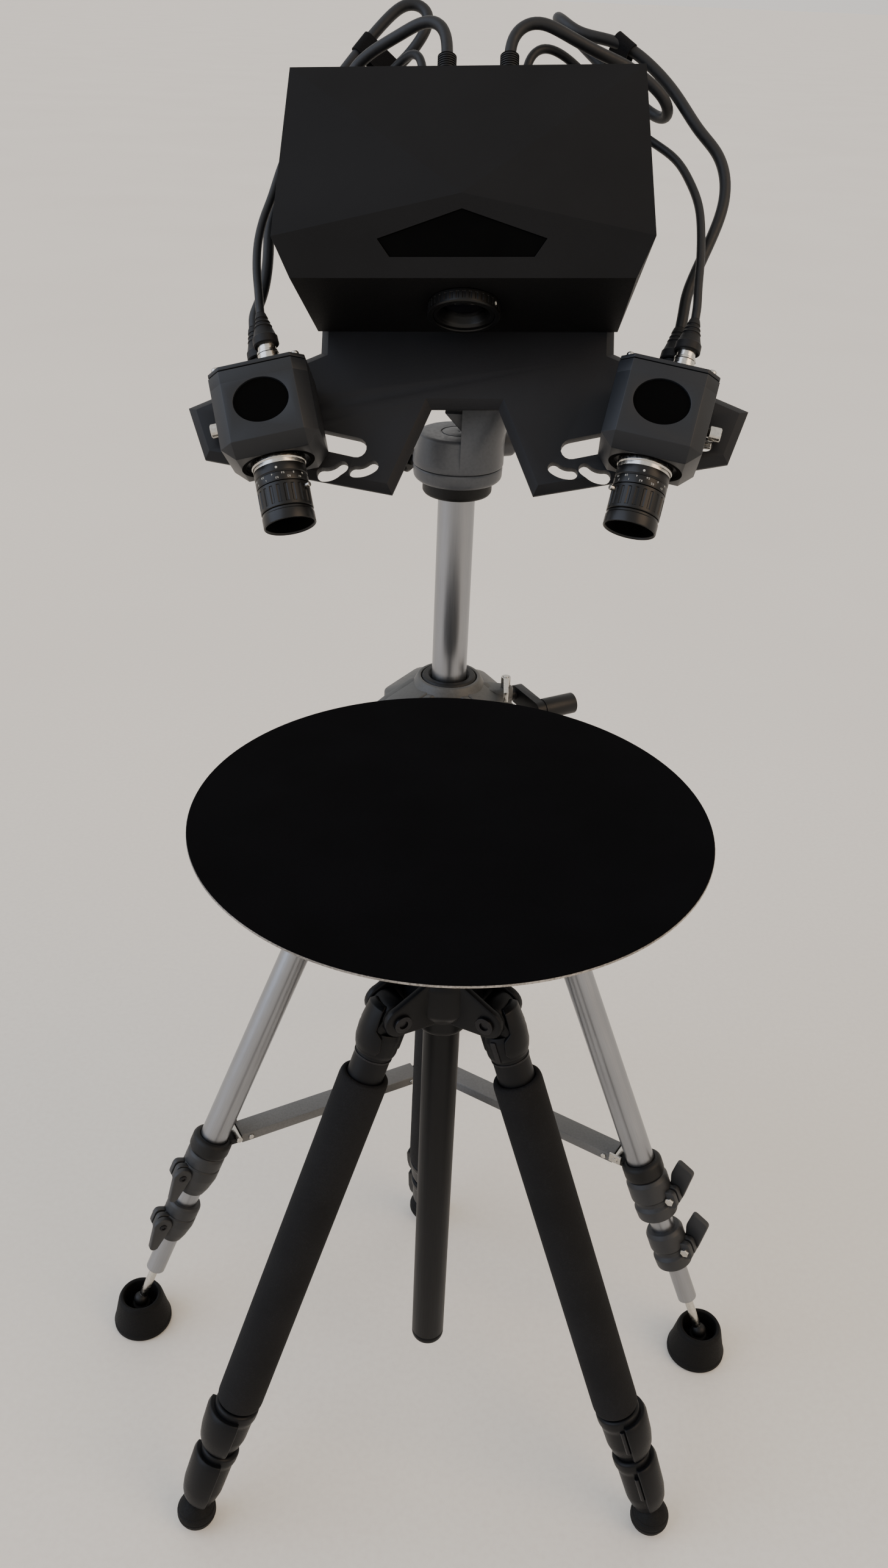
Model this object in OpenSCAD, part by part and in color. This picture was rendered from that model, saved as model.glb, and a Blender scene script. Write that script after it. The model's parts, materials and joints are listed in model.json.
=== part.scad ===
// Structured-light scanner set: a projector head with two cameras on a braced
// tripod, and a turntable on a second tripod. Millimetres, Z up, the viewer's
// side is -Y. The origin is the bottom centre of the set.

/* [Layout] */
// Distance from the turntable axis to the scanner column
stand_gap = 233; // [230:1:300]
// Sideways place of the turntable axis
table_x = 9.5; // [-20:0.5:20]
// Turn of the turntable stand about its own axis
table_turn = 2.7; // [-6:0.1:6]
// Height of the turntable's top above the floor
table_h = 653; // [650:1:680]
// Height of the scan head's tilt axis above the floor
tilt_axis_h = 895; // [890:1:950]
// Nose-down angle of the scan head
head_tilt = 53; // [45:1:58]

/* [Bracket plate] */
// Overall width of the bracket plate across its wings
plate_w = 400; // [392:1:420]
// Thickness of the bracket plate
plate_t = 8; // [6:0.5:9]
// Distance from the tilt axis to the top of the bracket plate
plate_rise = 43; // [42:1:50]
// Sideways place of the plate on the tilt platform
plate_x = 3; // [-6:0.5:6]
// Sideways lean of the tilt platform and of the plate on it
plate_lean = 3; // [-4:0.1:4]
// Turn of the plate on the tilt platform
plate_turn = 1.2; // [-4:0.1:4]
// Width of the plate's rear part under the projector
plate_rear_w = 210; // [204:1:212]
// Length of the plate behind the tilt axis
plate_rear_l = 150; // [146:1:152]

/* [Projector] */
// Height of the housing's front face
front_h = 79; // [76:1:88]
// Width of the housing's front face at the bottom
front_bottom_w = 214; // [206:1:220]
// Width of the housing's front face at the top
front_top_w = 228; // [224:1:236]
// Greatest width of the housing, at its visor corners
housing_w = 251; // [245:1:259]
// Length of the housing along the plate
housing_l = 138; // [132:1:146]
// Rise of the housing's visor for each millimetre it runs back
visor_slope = 0.5; // [0.45:0.01:0.55]
// Wall of the housing's cover
cover_wall = 3; // [2.5:0.1:3.5]
// Diameter of the projector lens
projector_lens_d = 42; // [38:0.5:46]
// Diameter of the projector's focus ring
projector_ring_d = 50; // [48:0.5:56]
// Height of the projector lens above the plate
projector_lens_rise = 42; // [40:0.5:46]

/* [Cameras] */
// Sideways distance from the head's middle to each camera
cam_x = 132; // [129:0.5:137]
// Forward distance from the tilt axis to each camera's middle
cam_f = 66.5; // [63:0.5:69]
// Turn of each camera towards the middle
toe_in = 13; // [8:0.5:16]
// Width of a camera box
cam_w = 68; // [62:0.5:70]
// Depth of a camera box
cam_d = 60; // [56:0.5:64]
// Height of a camera box
cam_h = 62; // [58:0.5:70]
// Chamfer on the edges of a camera box
cam_chamfer = 9; // [5:0.5:10]
// Wall of a camera box
cam_wall = 5; // [4:0.5:6]
// Diameter of a camera lens
lens_d = 36.5; // [34:0.5:40]
// Length of a camera lens in front of its box
lens_l = 45; // [43:0.5:53]
// Height of a camera lens above the plate
lens_rise = 30; // [28:0.5:33]

/* [Leads] */
// Diameter of the thick camera leads
thick_d = 8; // [6:0.5:9]
// Diameter of the thin camera leads
thin_d = 6; // [4:0.5:7]

/* [Tripod head] */
// Diameter of the pan base
pan_d = 70; // [66:1:80]
// Height of the fixed part of the pan base
pan_base_h = 12; // [11:0.5:15]
// Height of the turning part of the pan base
pan_turn_h = 24; // [22:0.5:26]
// Height of the black ring under the pan base
pan_ring_h = 11; // [8:0.5:14]
// Diameter of the black ring under the pan base
pan_ring_d = 54; // [46:1:60]
// Width of the tilt arm
arm_w = 36; // [30:1:40]
// Depth of the tilt arm
arm_d = 44; // [38:1:48]
// Diameter of the tilt shaft
tilt_shaft_d = 18; // [14:0.5:22]

/* [Scanner stand] */
// Diameter of the centre column
column_d = 29; // [27:0.5:32]
// Height of the crown's leg pivots above the floor
crown_pivot_h = 605; // [600:1:620]
// Distance of the crown's leg pivots from the column axis
crown_pivot_r = 50; // [49:0.5:56]
// Radius of the circle through the scanner stand's feet
scan_foot_r = 315; // [300:1:340]
// Diameter of the upper leg tubes
leg_tube_d = 26; // [25:0.5:28]
// Diameter of the middle leg tubes
leg_mid_d = 22; // [21:0.5:23]
// Diameter of the lower leg tubes
leg_low_d = 18; // [16:0.5:19]
// Distance along a leg from its pivot to the brace collar
collar_at = 426; // [415:1:432]
// Diameter of a bell foot at the floor
bell_d = 55; // [50:1:62]
// Height of a bell foot
bell_h = 40; // [36:1:44]
// Width of a brace arm
brace_w = 20; // [18:0.5:24]

/* [Turntable] */
// Diameter of the turntable disc
disc_d = 360; // [340:1:366]
// Thickness of the turntable disc
disc_t = 6; // [5:0.5:8]
// Diameter of the drive housing under the disc
drive_d = 150; // [130:1:180]
// Height of the drive housing
drive_h = 42; // [40:1:46]

/* [Turntable stand] */
// Diameter of the turntable's centre column
post_d = 28; // [26:0.5:30]
// Height of the column's lower end above the floor
post_end_h = 104; // [90:1:130]
// Distance from the turntable's top down to the stand's leg pivots
pivot_drop = 153; // [150:1:160]
// Distance of the turntable stand's leg pivots from its column axis
table_pivot_r = 45; // [44:0.5:50]
// Radius of the circle through the turntable stand's feet
table_foot_r = 225; // [215:1:226]
// Diameter of the turntable stand's upper leg tubes
table_tube_d = 28; // [27:0.5:29]
// Diameter of the turntable stand's middle leg tubes
table_mid_d = 24; // [23:0.5:25]
// Diameter of the turntable stand's lower leg tubes
table_low_d = 20; // [18:0.5:21]
// Diameter of the foam grips
grip_d = 38; // [34:0.5:42]
// Diameter of the ball feet
ball_d = 33; // [28:0.5:36]

/* [Hidden] */
$fn = 48;

// Clearances: running fits, loose fits and seats between pieces
run_gap = 0.05;
fit_gap = 0.15;
seat_gap = 0.3;
over = 1;

// Azimuths of the legs: rear, front left, front right
leg_angles = [90, 210, 330];

// Places of the two stands along Y, about the middle of the set
set_depth = disc_d / 2 + stand_gap + scan_foot_r + bell_d / 2;
table_y = (disc_d - set_depth) / 2;
scan_y = table_y + stand_gap;

// Heights of the scanner column's top and of the parts on it
arm_top_gap = 42;
pan_turn_z = tilt_axis_h - arm_top_gap - pan_turn_h;
pan_base_z = pan_turn_z - seat_gap - pan_base_h;
column_top = pan_base_z - pan_ring_h;
column_l = 477;
column_wall = 3;
column_floor = 6;
column_bore_d = column_d - 2 * column_wall;
pan_stud_d = 20;
pan_stud_h = 18;

// Tilt arm and tilt platform
arm_x = 2;
arm_end_r = 25;
tilt_boss_r = 22;
tilt_boss_l = 38;
tilt_web_d = 35;
platform_t = 8;
platform_l = 64;
tilt_knob_d = 38;
tilt_knob_h = 20;
knob_core_d = 30;
knob_lobe_d = 9;
knob_lobes = 6;
pan_knob_at = 150;
pan_knob_d = 20;
pan_knob_h = 15;
pan_knob_stem_d = 8;
pan_knob_stem_l = 12;
pan_knob_out = 8;

// Bracket plate outline
wing_f = 42;
wing_tip_f = 80;
wing_tip_in = 14;
nose_f = 104.5;
nose_x = 50;
notch_f = 41;
notch_x = 24;
oblong = [26, 15];
kidney = [19, 7.5];
outer_kidney = [15, 6];
// Slots beside each camera: size, place from the camera's pivot, angle
plate_slots = [[oblong, [-53, 3.5], -12], [kidney, [-62, 22.5], -20], [kidney, [-40, 20.5], -4],
    [outer_kidney, [49, -20.5], 20], [outer_kidney, [50, -10.5], 4], [outer_kidney, [46, -0.5], -12]];
pivot_hole_d = 8.5;
pivot_stud_d = pivot_hole_d - 2 * run_gap;

// Housing of the projector
housing_f = -14;
// Wall across the slanted sides, for each millimetre of wall
side_slant = 1.05;
visor_back = 23;
ridge_back = 46;
rear_top_w = 234;
rear_bottom_w = 200;
rear_h = 95;
window_points = [[0, 42], [-55.5, 24], [-47.5, 13], [47.5, 13], [55.5, 24]];
window_depth = 1.5;
window_lip = 4;
window_flange = 2;
base_t = 4;
panel_t = 3;
engine = [140, 80, 60];
engine_f = -56;
engine_fan_d = 24;
engine_fan_depth = 6;
engine_fan_x = 46;
lens_bore_d = 34;
lens_bore_l = 14;
ring_l = 9;
lens_back = 1;
vent = [3, 22];
vent_count = 8;
vent_pitch = 6;
vent_x = -80;
inlet = [28, 20, 6];
inlet_rim = 3;
inlet_depth = 3;
inlet_x = 78;
inlet_rise = 34;
thick_gland_x = [-14.5, 27.5];
thin_gland_x = [-31.5, 38];
thick_gland_rise = 75;
thin_gland_rise = 62;
gland_l = 20;
thin_gland_l = 9;
gland_base_l = 6;
gland_step = 1.5;
gland_wall = 4;
thin_gland_wall = 2.5;

// Camera boxes, covers, plugs and lenses
cover_t = 3;
cover_in = 3;
cam_seat = 0.2;
oval = [38, 31];
oval_back = 4.5;
oval_depth = 2;
sensor = [38, 16, 38];
sensor_bore_d = 20;
screw_d = 6;
screw_h = 2.5;
screw_in = 8;
thick_plug = [0, 20];
thin_plug = [8, 38.5];
plug_d = 16;
plug_base_l = 8;
plug_neck_d = 9;
plug_neck_l = 10;
boot_d = 18;
boot_l = 24;
boot_wall = 0.75;
plug_l = plug_base_l + plug_neck_l + boot_l;
mount_d = 38;
mount_gap = 3.5;
lens_seat = 3.5;
mount_l = 6;
lens_core_d = 30;
ring_from = 18;
focus_l = 17;
hood_l = 9.5;
lens_cup_d = 27;
lens_cup_l = 7;
thumb_d = 4;
thumb_l = 6;
thumb_at = 35;

// Scanner stand crown, crank and lock
crown_d = 64;
crown_up = 31;
crown_down = 17;
collar_d = 46;
collar_h = 12;
rim_d = 55;
rim_h = 11;
ear_t = 6;
ear_r = 13;
knuckle_r = 12;
knuckle_neck = 19;
ear_root = 8;
trunnion_d = 8;
crank_at = 30;
crank_rise = 10;
crank_shaft_d = 10;
crank_in = 8;
crank_shaft_out = 42;
crank_arm = [8, 34, 16];
crank_knob_d = 18;
crank_knob_l = 30;
lock_at = 0;
lock_r = 48;
lock_lever = [8, 30, 9];
lock_pin_d = 5;
lock_lug = 10;
lock_root = 3;

// Scanner stand legs: distances run down the leg from its pivot
foot_joint_h = 29;
scan_lean = atan((scan_foot_r - crown_pivot_r) / (crown_pivot_h - foot_joint_h));
scan_leg_l = norm([scan_foot_r - crown_pivot_r, crown_pivot_h - foot_joint_h]);
leg_start = 12;
knuckle_down = 24;
leg_collar_wall = 6;
mid_play = 12;
leg_collar_l = 24;
leg_clamp_l = 43;
clamp_step = 16;
clamp_d = 36;
mid_in = 180;
mid_gap = 15;
mid_clamp_l = 43;
mid_clamp_d = 32;
low_in = 150;
low_out = 42;
rod_d = 8;
foot_ball_d = 14;
bell_top_d = 47;
bell_hollow_d = 40;
bell_floor = 12;
bell_boss_d = 20;
bell_boss_drop = 2;
wing_t = 8;
wing_r = 9;
wing_out = 14;
wing_root = 4;
wing_boss_d = 14;
brace_h = 10;
brace_wall = 2;
tongue_l = 20;
hub_d = 32;
hub_h = 22;
hub_tongue_r = 34;
brace_short = 5.5;
hub_play = 4;
brace_from = hub_d / 2 + hub_play;
clamp_from = collar_at + leg_collar_l;
clamp_to = clamp_from + leg_clamp_l;
tube_end = clamp_from + clamp_step;
mid_from = clamp_to + mid_gap;
mid_to = mid_from + mid_clamp_l;
low_to = mid_to + low_out;
collar_mid = collar_at + leg_collar_l / 2;
collar_r = crown_pivot_r + collar_mid * sin(scan_lean);
collar_h_floor = crown_pivot_h - collar_mid * cos(scan_lean);
brace_z = collar_h_floor - brace_h / 2;
brace_to = collar_r - (leg_tube_d / 2 + leg_collar_wall) / cos(scan_lean) - brace_short;

// Turntable and its stand
hub_gap = 4;
disc_hub_d = 50;
spindle_d = 12;
spindle_l = 26;
spindle_play = 2;
bearing_floor = 2;
drive_wall = 4;
drive_top = 6;
bearing_d = 30;
motor_d = 40;
motor_h = 28;
motor_x = 45;
flange_t = 5;
post_ease = 3;
drive_z = table_h - disc_t - hub_gap - seat_gap - drive_h;
table_pivot_h = table_h - pivot_drop;
shoulder_d = 60;
shoulder_up = 28;
shoulder_down = 34;
table_collar_d = 46;
table_collar_h = 15;
collar_tab = [12, 10];
tab_root = 4;
table_knuckle_w = 22;
table_ball_h = ball_d / 2;
table_lean = atan((table_foot_r - table_pivot_r) / (table_pivot_h - table_ball_h));
table_leg_l = norm([table_foot_r - table_pivot_r, table_pivot_h - table_ball_h]);
table_tube_from = 22;
grip_from = 58;
grip_to = 388;
lock_from = 390;
table_lock_l = 44;
table_lock_d = 37;
lock_step = 24;
low_lock_gap = 8;
low_lock_l = 42;
low_lock_d = 32;
low_lock_step = 20;
lever = [9, 14];
lever_in = 2;
angle_tab = [6, 16, 20];
angle_tab_in = 2;
angle_tab_up = 6;
table_knuckle_down = 30;
table_mid_play = 12;
table_mid_in = 190;
table_low_in = 150;
ball_neck_d = 22;

// Lead routes in the head's own frame: sideways, forward, above the plate.
// The two ends come from the camera plugs and the glands.
left_thick_route = [[-149, -19, 19], [-145, -31, 18], [-143, -49, 16], [-143, -68, 13],
    [-144, -85, 11], [-140, -104, 10], [-135, -126, 10], [-127, -149, 11], [-116, -170, 13],
    [-101, -191, 17], [-79, -219, 21], [-56, -245, 23], [-47, -251, 23], [-37, -248, 23],
    [-31, -239, 23], [-34, -229, 23], [-48, -213, 16], [-64, -203, 10], [-82, -192, 8],
    [-88, -183, 12], [-91, -180, 23], [-88, -183, 34], [-82, -192, 38], [-71, -197, 44],
    [-58, -198, 54], [-46, -199, 62], [-35, -201, 69], [-26, -201, 73], [-17, -194, 75]];
left_thin_route = [[-142, -23, 38], [-145, -32, 37], [-146, -45, 36], [-147, -60, 33],
    [-146, -75, 30], [-144, -88, 27], [-141, -98, 25], [-131, -136, 23], [-120, -152, 21],
    [-106, -163, 19], [-91, -169, 20], [-76, -176, 25], [-62, -184, 34], [-50, -190, 44],
    [-41, -190, 54], [-34, -184, 61]];
right_thick_route = [[152, -29, 19], [160, -51, 18], [171, -77, 18], [178, -98, 19],
    [179, -117, 20], [173, -136, 21], [161, -149, 23], [137, -184, 27], [106, -208, 34],
    [72, -216, 37], [62, -228, 34], [58, -237, 24], [63, -239, 14], [73, -231, 9], [99, -203, 8],
    [128, -173, 8], [136, -166, 12], [139, -163, 23], [136, -166, 34], [128, -173, 38],
    [110, -184, 44], [94, -185, 54], [77, -188, 63], [61, -193, 70], [47, -198, 74],
    [35, -194, 75]];
right_thin_route = [[158, -20, 39], [160, -44, 37], [161, -71, 32], [160, -94, 26],
    [155, -114, 19], [145, -137, 12], [125, -156, 6], [108, -165, 14], [92, -174, 29],
    [76, -183, 43], [61, -189, 54], [48, -189, 61], [40, -180, 62]];
lead_sides = 10;
lead_run = 10;

// Turned solid between two heights
module rod(d, z0, z1) {
    translate([0, 0, z0])
        cylinder(d = d, h = z1 - z0);
}

// Round hole between two heights, cut past both ends
module bore(d, z0, z1) {
    rod(d, z0 - over, z1 + over);
}

// Box centred in X and Y between two heights
module block(size, z0) {
    translate([-size.x / 2, -size.y / 2, z0])
        cube(size);
}

// Cylinder along X between two places
module rod_x(d, x0, x1) {
    translate([x0, 0, 0])
        rotate([0, 90, 0])
            cylinder(d = d, h = x1 - x0);
}

// Cylinder along Y between two places
module rod_y(d, y0, y1) {
    translate([0, y1, 0])
        rotate([90, 0, 0])
            cylinder(d = d, h = y1 - y0);
}

// Frame of the scan head: X sideways, -Y forward, Z away from the plate
module in_head() {
    translate([0, scan_y, tilt_axis_h])
        rotate([head_tilt, 0, 0])
            children();
}

// Frame on top of the bracket plate
module on_plate() {
    in_head()
        translate([plate_x, 0, plate_rise])
            rotate([0, -plate_lean, plate_turn])
                children();
}

// Frame of a camera, looking along its own -Y
module in_camera(side) {
    on_plate()
        translate([side * cam_x, -cam_f, cam_seat])
            rotate([0, 0, -side * toe_in])
                children();
}

// Frame of a camera's lens: Z runs forward along the lens from the box's face
module in_lens(side) {
    in_camera(side)
        translate([0, -cam_d / 2, lens_rise])
            rotate([90, 0, 0])
                children();
}

// Frame of a scanner stand leg: the leg runs down -Z, +X faces out
module in_scan_leg(angle) {
    translate([0, scan_y, 0])
        rotate([0, 0, angle])
            translate([crown_pivot_r, 0, crown_pivot_h])
                rotate([0, -scan_lean, 0])
                    children();
}

// Frame of a turntable stand leg: the leg runs down -Z, +X faces out
module in_table_leg(angle) {
    translate([table_x, table_y, 0])
        rotate([0, 0, angle + table_turn])
            translate([table_pivot_r, 0, table_pivot_h])
                rotate([0, -table_lean, 0])
                    children();
}

// Flat slot with round ends, cut through the plate
module slot(size, x, f, angle) {
    translate([x, -f, -plate_t - over])
        rotate([0, 0, angle]) {
            block([size.x - size.y, size.y, plate_t + 2 * over], 0);
            for (end = [-1, 1])
                translate([end * (size.x - size.y) / 2, 0, 0])
                    cylinder(d = size.y, h = plate_t + 2 * over);
        }
}

// Half outline of the bracket plate, from the notch round to the rear edge
plate_half = [[notch_x, -notch_f], [nose_x, -nose_f], [plate_w / 2 - wing_tip_in, -wing_tip_f],
    [plate_w / 2, -wing_f], [plate_rear_w / 2, 0], [plate_rear_w / 2, plate_rear_l]];

function mirrored(points) = [for (i = [len(points) - 1:-1:0]) [-points[i].x, points[i].y]];

module bracket_plate() {
    color("#2b2c2e")
        on_plate()
            difference() {
                translate([0, 0, -plate_t])
                    linear_extrude(plate_t)
                        polygon(concat(plate_half, mirrored(plate_half)));
                for (side = [-1, 1]) {
                    for (s = plate_slots)
                        slot(s[0], side * (cam_x + s[1].x), cam_f + s[1].y, side * s[2]);
                    translate([side * cam_x, -cam_f, 0])
                        bore(pivot_hole_d, -plate_t, 0);
                }
            }
}

// Corners of the housing, drawn in by a wall on the closed sides and let out
// by an opening at the bottom and the back
function housing_points(wall, open) = let (
    lean = sqrt(1 + visor_slope * visor_slope),
    front = housing_f - wall,
    top = front_h - wall * lean + wall * visor_slope,
    side = wall * side_slant,
    rear = housing_f - housing_l - open,
    b = front_bottom_w / 2 - side,
    t = front_top_w / 2 - side,
    w = housing_w / 2 - side)
    [[-b, -front, -open], [b, -front, -open],
     [-t, -front, top], [t, -front, top],
     [-w, -front + visor_back, top + visor_slope * visor_back],
     [w, -front + visor_back, top + visor_slope * visor_back],
     [0, -front + ridge_back, top + visor_slope * ridge_back],
     [-rear_top_w / 2 + side, -rear, rear_h - wall * lean],
     [rear_top_w / 2 - side, -rear, rear_h - wall * lean],
     [-rear_bottom_w / 2 + side, -rear, -open],
     [rear_bottom_w / 2 - side, -rear, -open]];

housing_faces = [[0, 2, 3, 1], [2, 4, 6, 5, 3], [4, 7, 6], [6, 7, 8], [6, 8, 5],
    [0, 4, 2], [0, 7, 4], [0, 9, 7], [1, 3, 5], [1, 5, 8], [1, 8, 10],
    [9, 10, 8, 7], [0, 1, 10, 9]];

// Frame on the visor: Y up the slope, Z out of it
module on_visor() {
    on_plate()
        translate([0, -housing_f, front_h])
            rotate([atan(visor_slope), 0, 0])
                children();
}

module projector_cover() {
    color("#26272a")
        difference() {
            on_plate()
                polyhedron(housing_points(0, 0), housing_faces);
            on_plate()
                polyhedron(housing_points(cover_wall, over), housing_faces);
            on_visor()
                translate([0, 0, -cover_wall - over])
                    linear_extrude(cover_wall + 2 * over)
                        polygon(window_points);
            on_plate()
                translate([0, -housing_f, projector_lens_rise])
                    rod_y(projector_lens_d + 2 * seat_gap, -over, cover_wall + over);
        }
}

module front_window() {
    color("#0d0d0f")
        on_visor() {
            translate([0, 0, -cover_wall - window_flange])
                linear_extrude(window_flange)
                    offset(delta = window_lip)
                        polygon(window_points);
            translate([0, 0, -cover_wall])
                linear_extrude(cover_wall - window_depth)
                    offset(delta = -fit_gap)
                        polygon(window_points);
        }
}

// Half widths of the floor inside the cover, at the front and at the back
floor_front = front_bottom_w / 2 - cover_wall * side_slant - seat_gap;
floor_rear = rear_bottom_w / 2 - cover_wall * side_slant - seat_gap;
floor_f = housing_f - cover_wall - seat_gap;
rear_f = housing_f - housing_l;

module projector_base() {
    color("#1f2022")
        on_plate()
            linear_extrude(base_t)
                polygon([[-floor_front, -floor_f], [floor_front, -floor_f],
                    [floor_rear, -rear_f], [-floor_rear, -rear_f]]);
}

// Half width and height of the rear panel at its top
panel_rise = rear_h - cover_wall * sqrt(1 + visor_slope * visor_slope) - seat_gap;
panel_top = rear_top_w / 2 - cover_wall * side_slant - 2 * seat_gap;

module rear_panel() {
    color("#222326")
        on_plate()
            translate([0, -rear_f, 0])
                difference() {
                    union() {
                        rotate([90, 0, 0])
                            linear_extrude(panel_t)
                                polygon([[-floor_rear, base_t], [floor_rear, base_t],
                                    [panel_top, panel_rise], [-panel_top, panel_rise]]);
                        translate([inlet_x - inlet.x / 2, 0, inlet_rise - inlet.y / 2])
                            cube([inlet.x, inlet.z, inlet.y]);
                    }
                    for (i = [0:vent_count - 1])
                        translate([vent_x + i * vent_pitch, -panel_t - over, inlet_rise - vent.y / 2])
                            cube([vent.x, panel_t + 2 * over, vent.y]);
                    translate([inlet_x - inlet.x / 2 + inlet_rim, inlet.z - inlet_depth,
                        inlet_rise - inlet.y / 2 + inlet_rim])
                        cube([inlet.x - 2 * inlet_rim, inlet_depth + over, inlet.y - 2 * inlet_rim]);
                }
}

module light_engine() {
    color("#4a4d50")
        on_plate()
            translate([0, -engine_f, base_t])
                difference() {
                    translate([-engine.x / 2, 0, 0])
                        cube(engine);
                    for (side = [-1, 1])
                        translate([side * engine_fan_x, engine.y / 2, engine.z])
                            rod(engine_fan_d, -engine_fan_depth, over);
                }
}

module projector_lens() {
    color("#151517")
        on_plate()
            translate([0, 0, projector_lens_rise])
                difference() {
                    rod_y(projector_lens_d, -housing_f - seat_gap - ring_l + lens_back, -engine_f);
                    rod_y(lens_bore_d, -housing_f - seat_gap - ring_l,
                        -housing_f - seat_gap - ring_l + lens_bore_l);
                }
}

module projector_focus_ring() {
    color("#1a1a1c")
        on_plate()
            translate([0, -housing_f - seat_gap, projector_lens_rise])
                difference() {
                    rod_y(projector_ring_d, -ring_l, 0);
                    rod_y(projector_lens_d + 2 * run_gap, -ring_l - over, over);
                }
}

module gland(x, rise, d, l) {
    translate([x, -rear_f, rise]) {
        rod_y(d, 0, gland_base_l);
        rod_y(d - 2 * gland_step, gland_base_l, l);
    }
}

module lead_glands() {
    color("#18181a")
        on_plate()
            for (i = [0, 1]) {
                gland(thick_gland_x[i], thick_gland_rise, thick_d + 2 * gland_wall, gland_l);
                gland(thin_gland_x[i], thin_gland_rise, thin_d + 2 * thin_gland_wall, thin_gland_l);
            }
}

// A camera's own point seen in the frame on the plate
function from_camera(side, p) = let (a = -side * toe_in)
    [side * cam_x + p.x * cos(a) - p.y * sin(a), -cam_f + p.x * sin(a) + p.y * cos(a), cam_seat + p.z];

// Whole route of a lead: out of the plug, along the chosen points, into the gland
function lead_path(side, plug, route, gland_x, rise, l) = let (
    end = cam_d / 2 + cover_t + plug_l + seat_gap)
    concat(
        [from_camera(side, [plug.x, end, plug.y]), from_camera(side, [plug.x, end + lead_run, plug.y])],
        [for (p = route) [p.x, -p.y, p.z]],
        [[gland_x, -rear_f + l + lead_run, rise], [gland_x, -rear_f + l, rise]]);

function unit(v) = v / norm(v);
function tangent(path, i) = unit(path[min(i + 1, len(path) - 1)] - path[max(i - 1, 0)]);

// Sideways direction at each point of a route, carried along from the first so the rings never twist
function square_to(v, t) = unit(v - t * (v * t));
function carried(path, i, last) = i == len(path) ? [] : let (
    across = square_to(last, tangent(path, i)))
    concat([across], carried(path, i + 1, across));

function ring_points(path, i, across, r) = let (
    up = cross(across, tangent(path, i)))
    [for (k = [0:lead_sides - 1]) let (a = 360 * k / lead_sides)
        path[i] + r * (cos(a) * across + sin(a) * up)];

// Tube swept along a route
module lead_tube(path, d) {
    rings = len(path);
    across = carried(path, 0, cross(tangent(path, 0), [0, 0, 1]));
    points = [for (i = [0:rings - 1]) each ring_points(path, i, across[i], d / 2)];
    sides = [for (i = [0:rings - 2]) for (k = [0:lead_sides - 1])
        let (a = i * lead_sides + k, b = i * lead_sides + (k + 1) % lead_sides)
        each [[a, a + lead_sides, b], [b, a + lead_sides, b + lead_sides]]];
    first = [for (k = [0:lead_sides - 1]) k];
    last = [for (k = [lead_sides - 1:-1:0]) (rings - 1) * lead_sides + k];
    polyhedron(points, concat(sides, [first], [last]));
}

module lead(side, d, plug, route, gland_x, rise, l) {
    color("#3a3b3d")
        on_plate()
            lead_tube(lead_path(side, plug, route, gland_x, rise, l), d);
}

module left_thick_lead() {
    lead(-1, thick_d, thick_plug, left_thick_route, thick_gland_x[0],
        thick_gland_rise, gland_l);
}

module left_thin_lead() {
    lead(-1, thin_d, thin_plug, left_thin_route, thin_gland_x[0],
        thin_gland_rise, thin_gland_l);
}

module right_thick_lead() {
    lead(1, thick_d, thick_plug, right_thick_route, thick_gland_x[1],
        thick_gland_rise, gland_l);
}

module right_thin_lead() {
    lead(1, thin_d, thin_plug, right_thin_route, thin_gland_x[1],
        thin_gland_rise, thin_gland_l);
}

// Box with all its edges chamfered, standing on the plate
module chamfered_box(size, c) {
    hull() {
        block([size.x - 2 * c, size.y - 2 * c, size.z], 0);
        block([size.x, size.y - 2 * c, size.z - 2 * c], c);
        block([size.x - 2 * c, size.y, size.z - 2 * c], c);
    }
}

module camera_box(side) {
    color("#3a3c40")
        in_camera(side)
            difference() {
                union() {
                    chamfered_box([cam_w, cam_d, cam_h], cam_chamfer);
                    rod(pivot_stud_d, -plate_t - cam_seat, cam_chamfer);
                }
                translate([0, cam_wall / 2 + over / 2, 0])
                    block([cam_w - 2 * cam_chamfer, cam_d - cam_wall + over, cam_h - 2 * cam_chamfer],
                        cam_chamfer);
                translate([0, -cam_d / 2, lens_rise])
                    rod_y(mount_d + 2 * mount_gap, -over, lens_seat);
                translate([0, -cam_d / 2, lens_rise])
                    rod_y(lens_core_d + 2 * fit_gap, -over, cam_wall + over);
                translate([0, oval_back, cam_h - oval_depth])
                    scale([1, oval.y / oval.x, 1])
                        cylinder(d = oval.x, h = oval_depth + over);
            }
}

module camera_cover(side) {
    cover_w = cam_w - 2 * cam_chamfer + 2 * cover_in;
    cover_h = cam_h - 2 * cam_chamfer + 2 * cover_in;
    color("#2e3033")
        in_camera(side)
            translate([0, cam_d / 2, cam_h / 2]) {
                translate([-cover_w / 2, 0, -cover_h / 2])
                    cube([cover_w, cover_t, cover_h]);
                for (x = [-1, 1])
                    for (z = [-1, 1])
                        translate([x * (cover_w - screw_in) / 2, 0, z * (cover_h - screw_in) / 2])
                            rod_y(screw_d, cover_t, cover_t + screw_h);
            }
}

module sensor_block(side) {
    color("#3f6b4a")
        in_camera(side)
            translate([0, -cam_d / 2 + cam_wall, lens_rise])
                difference() {
                    translate([-sensor.x / 2, 0, -sensor.z / 2])
                        cube(sensor);
                    rod_y(sensor_bore_d, -over, sensor.y / 2);
                }
}

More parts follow.
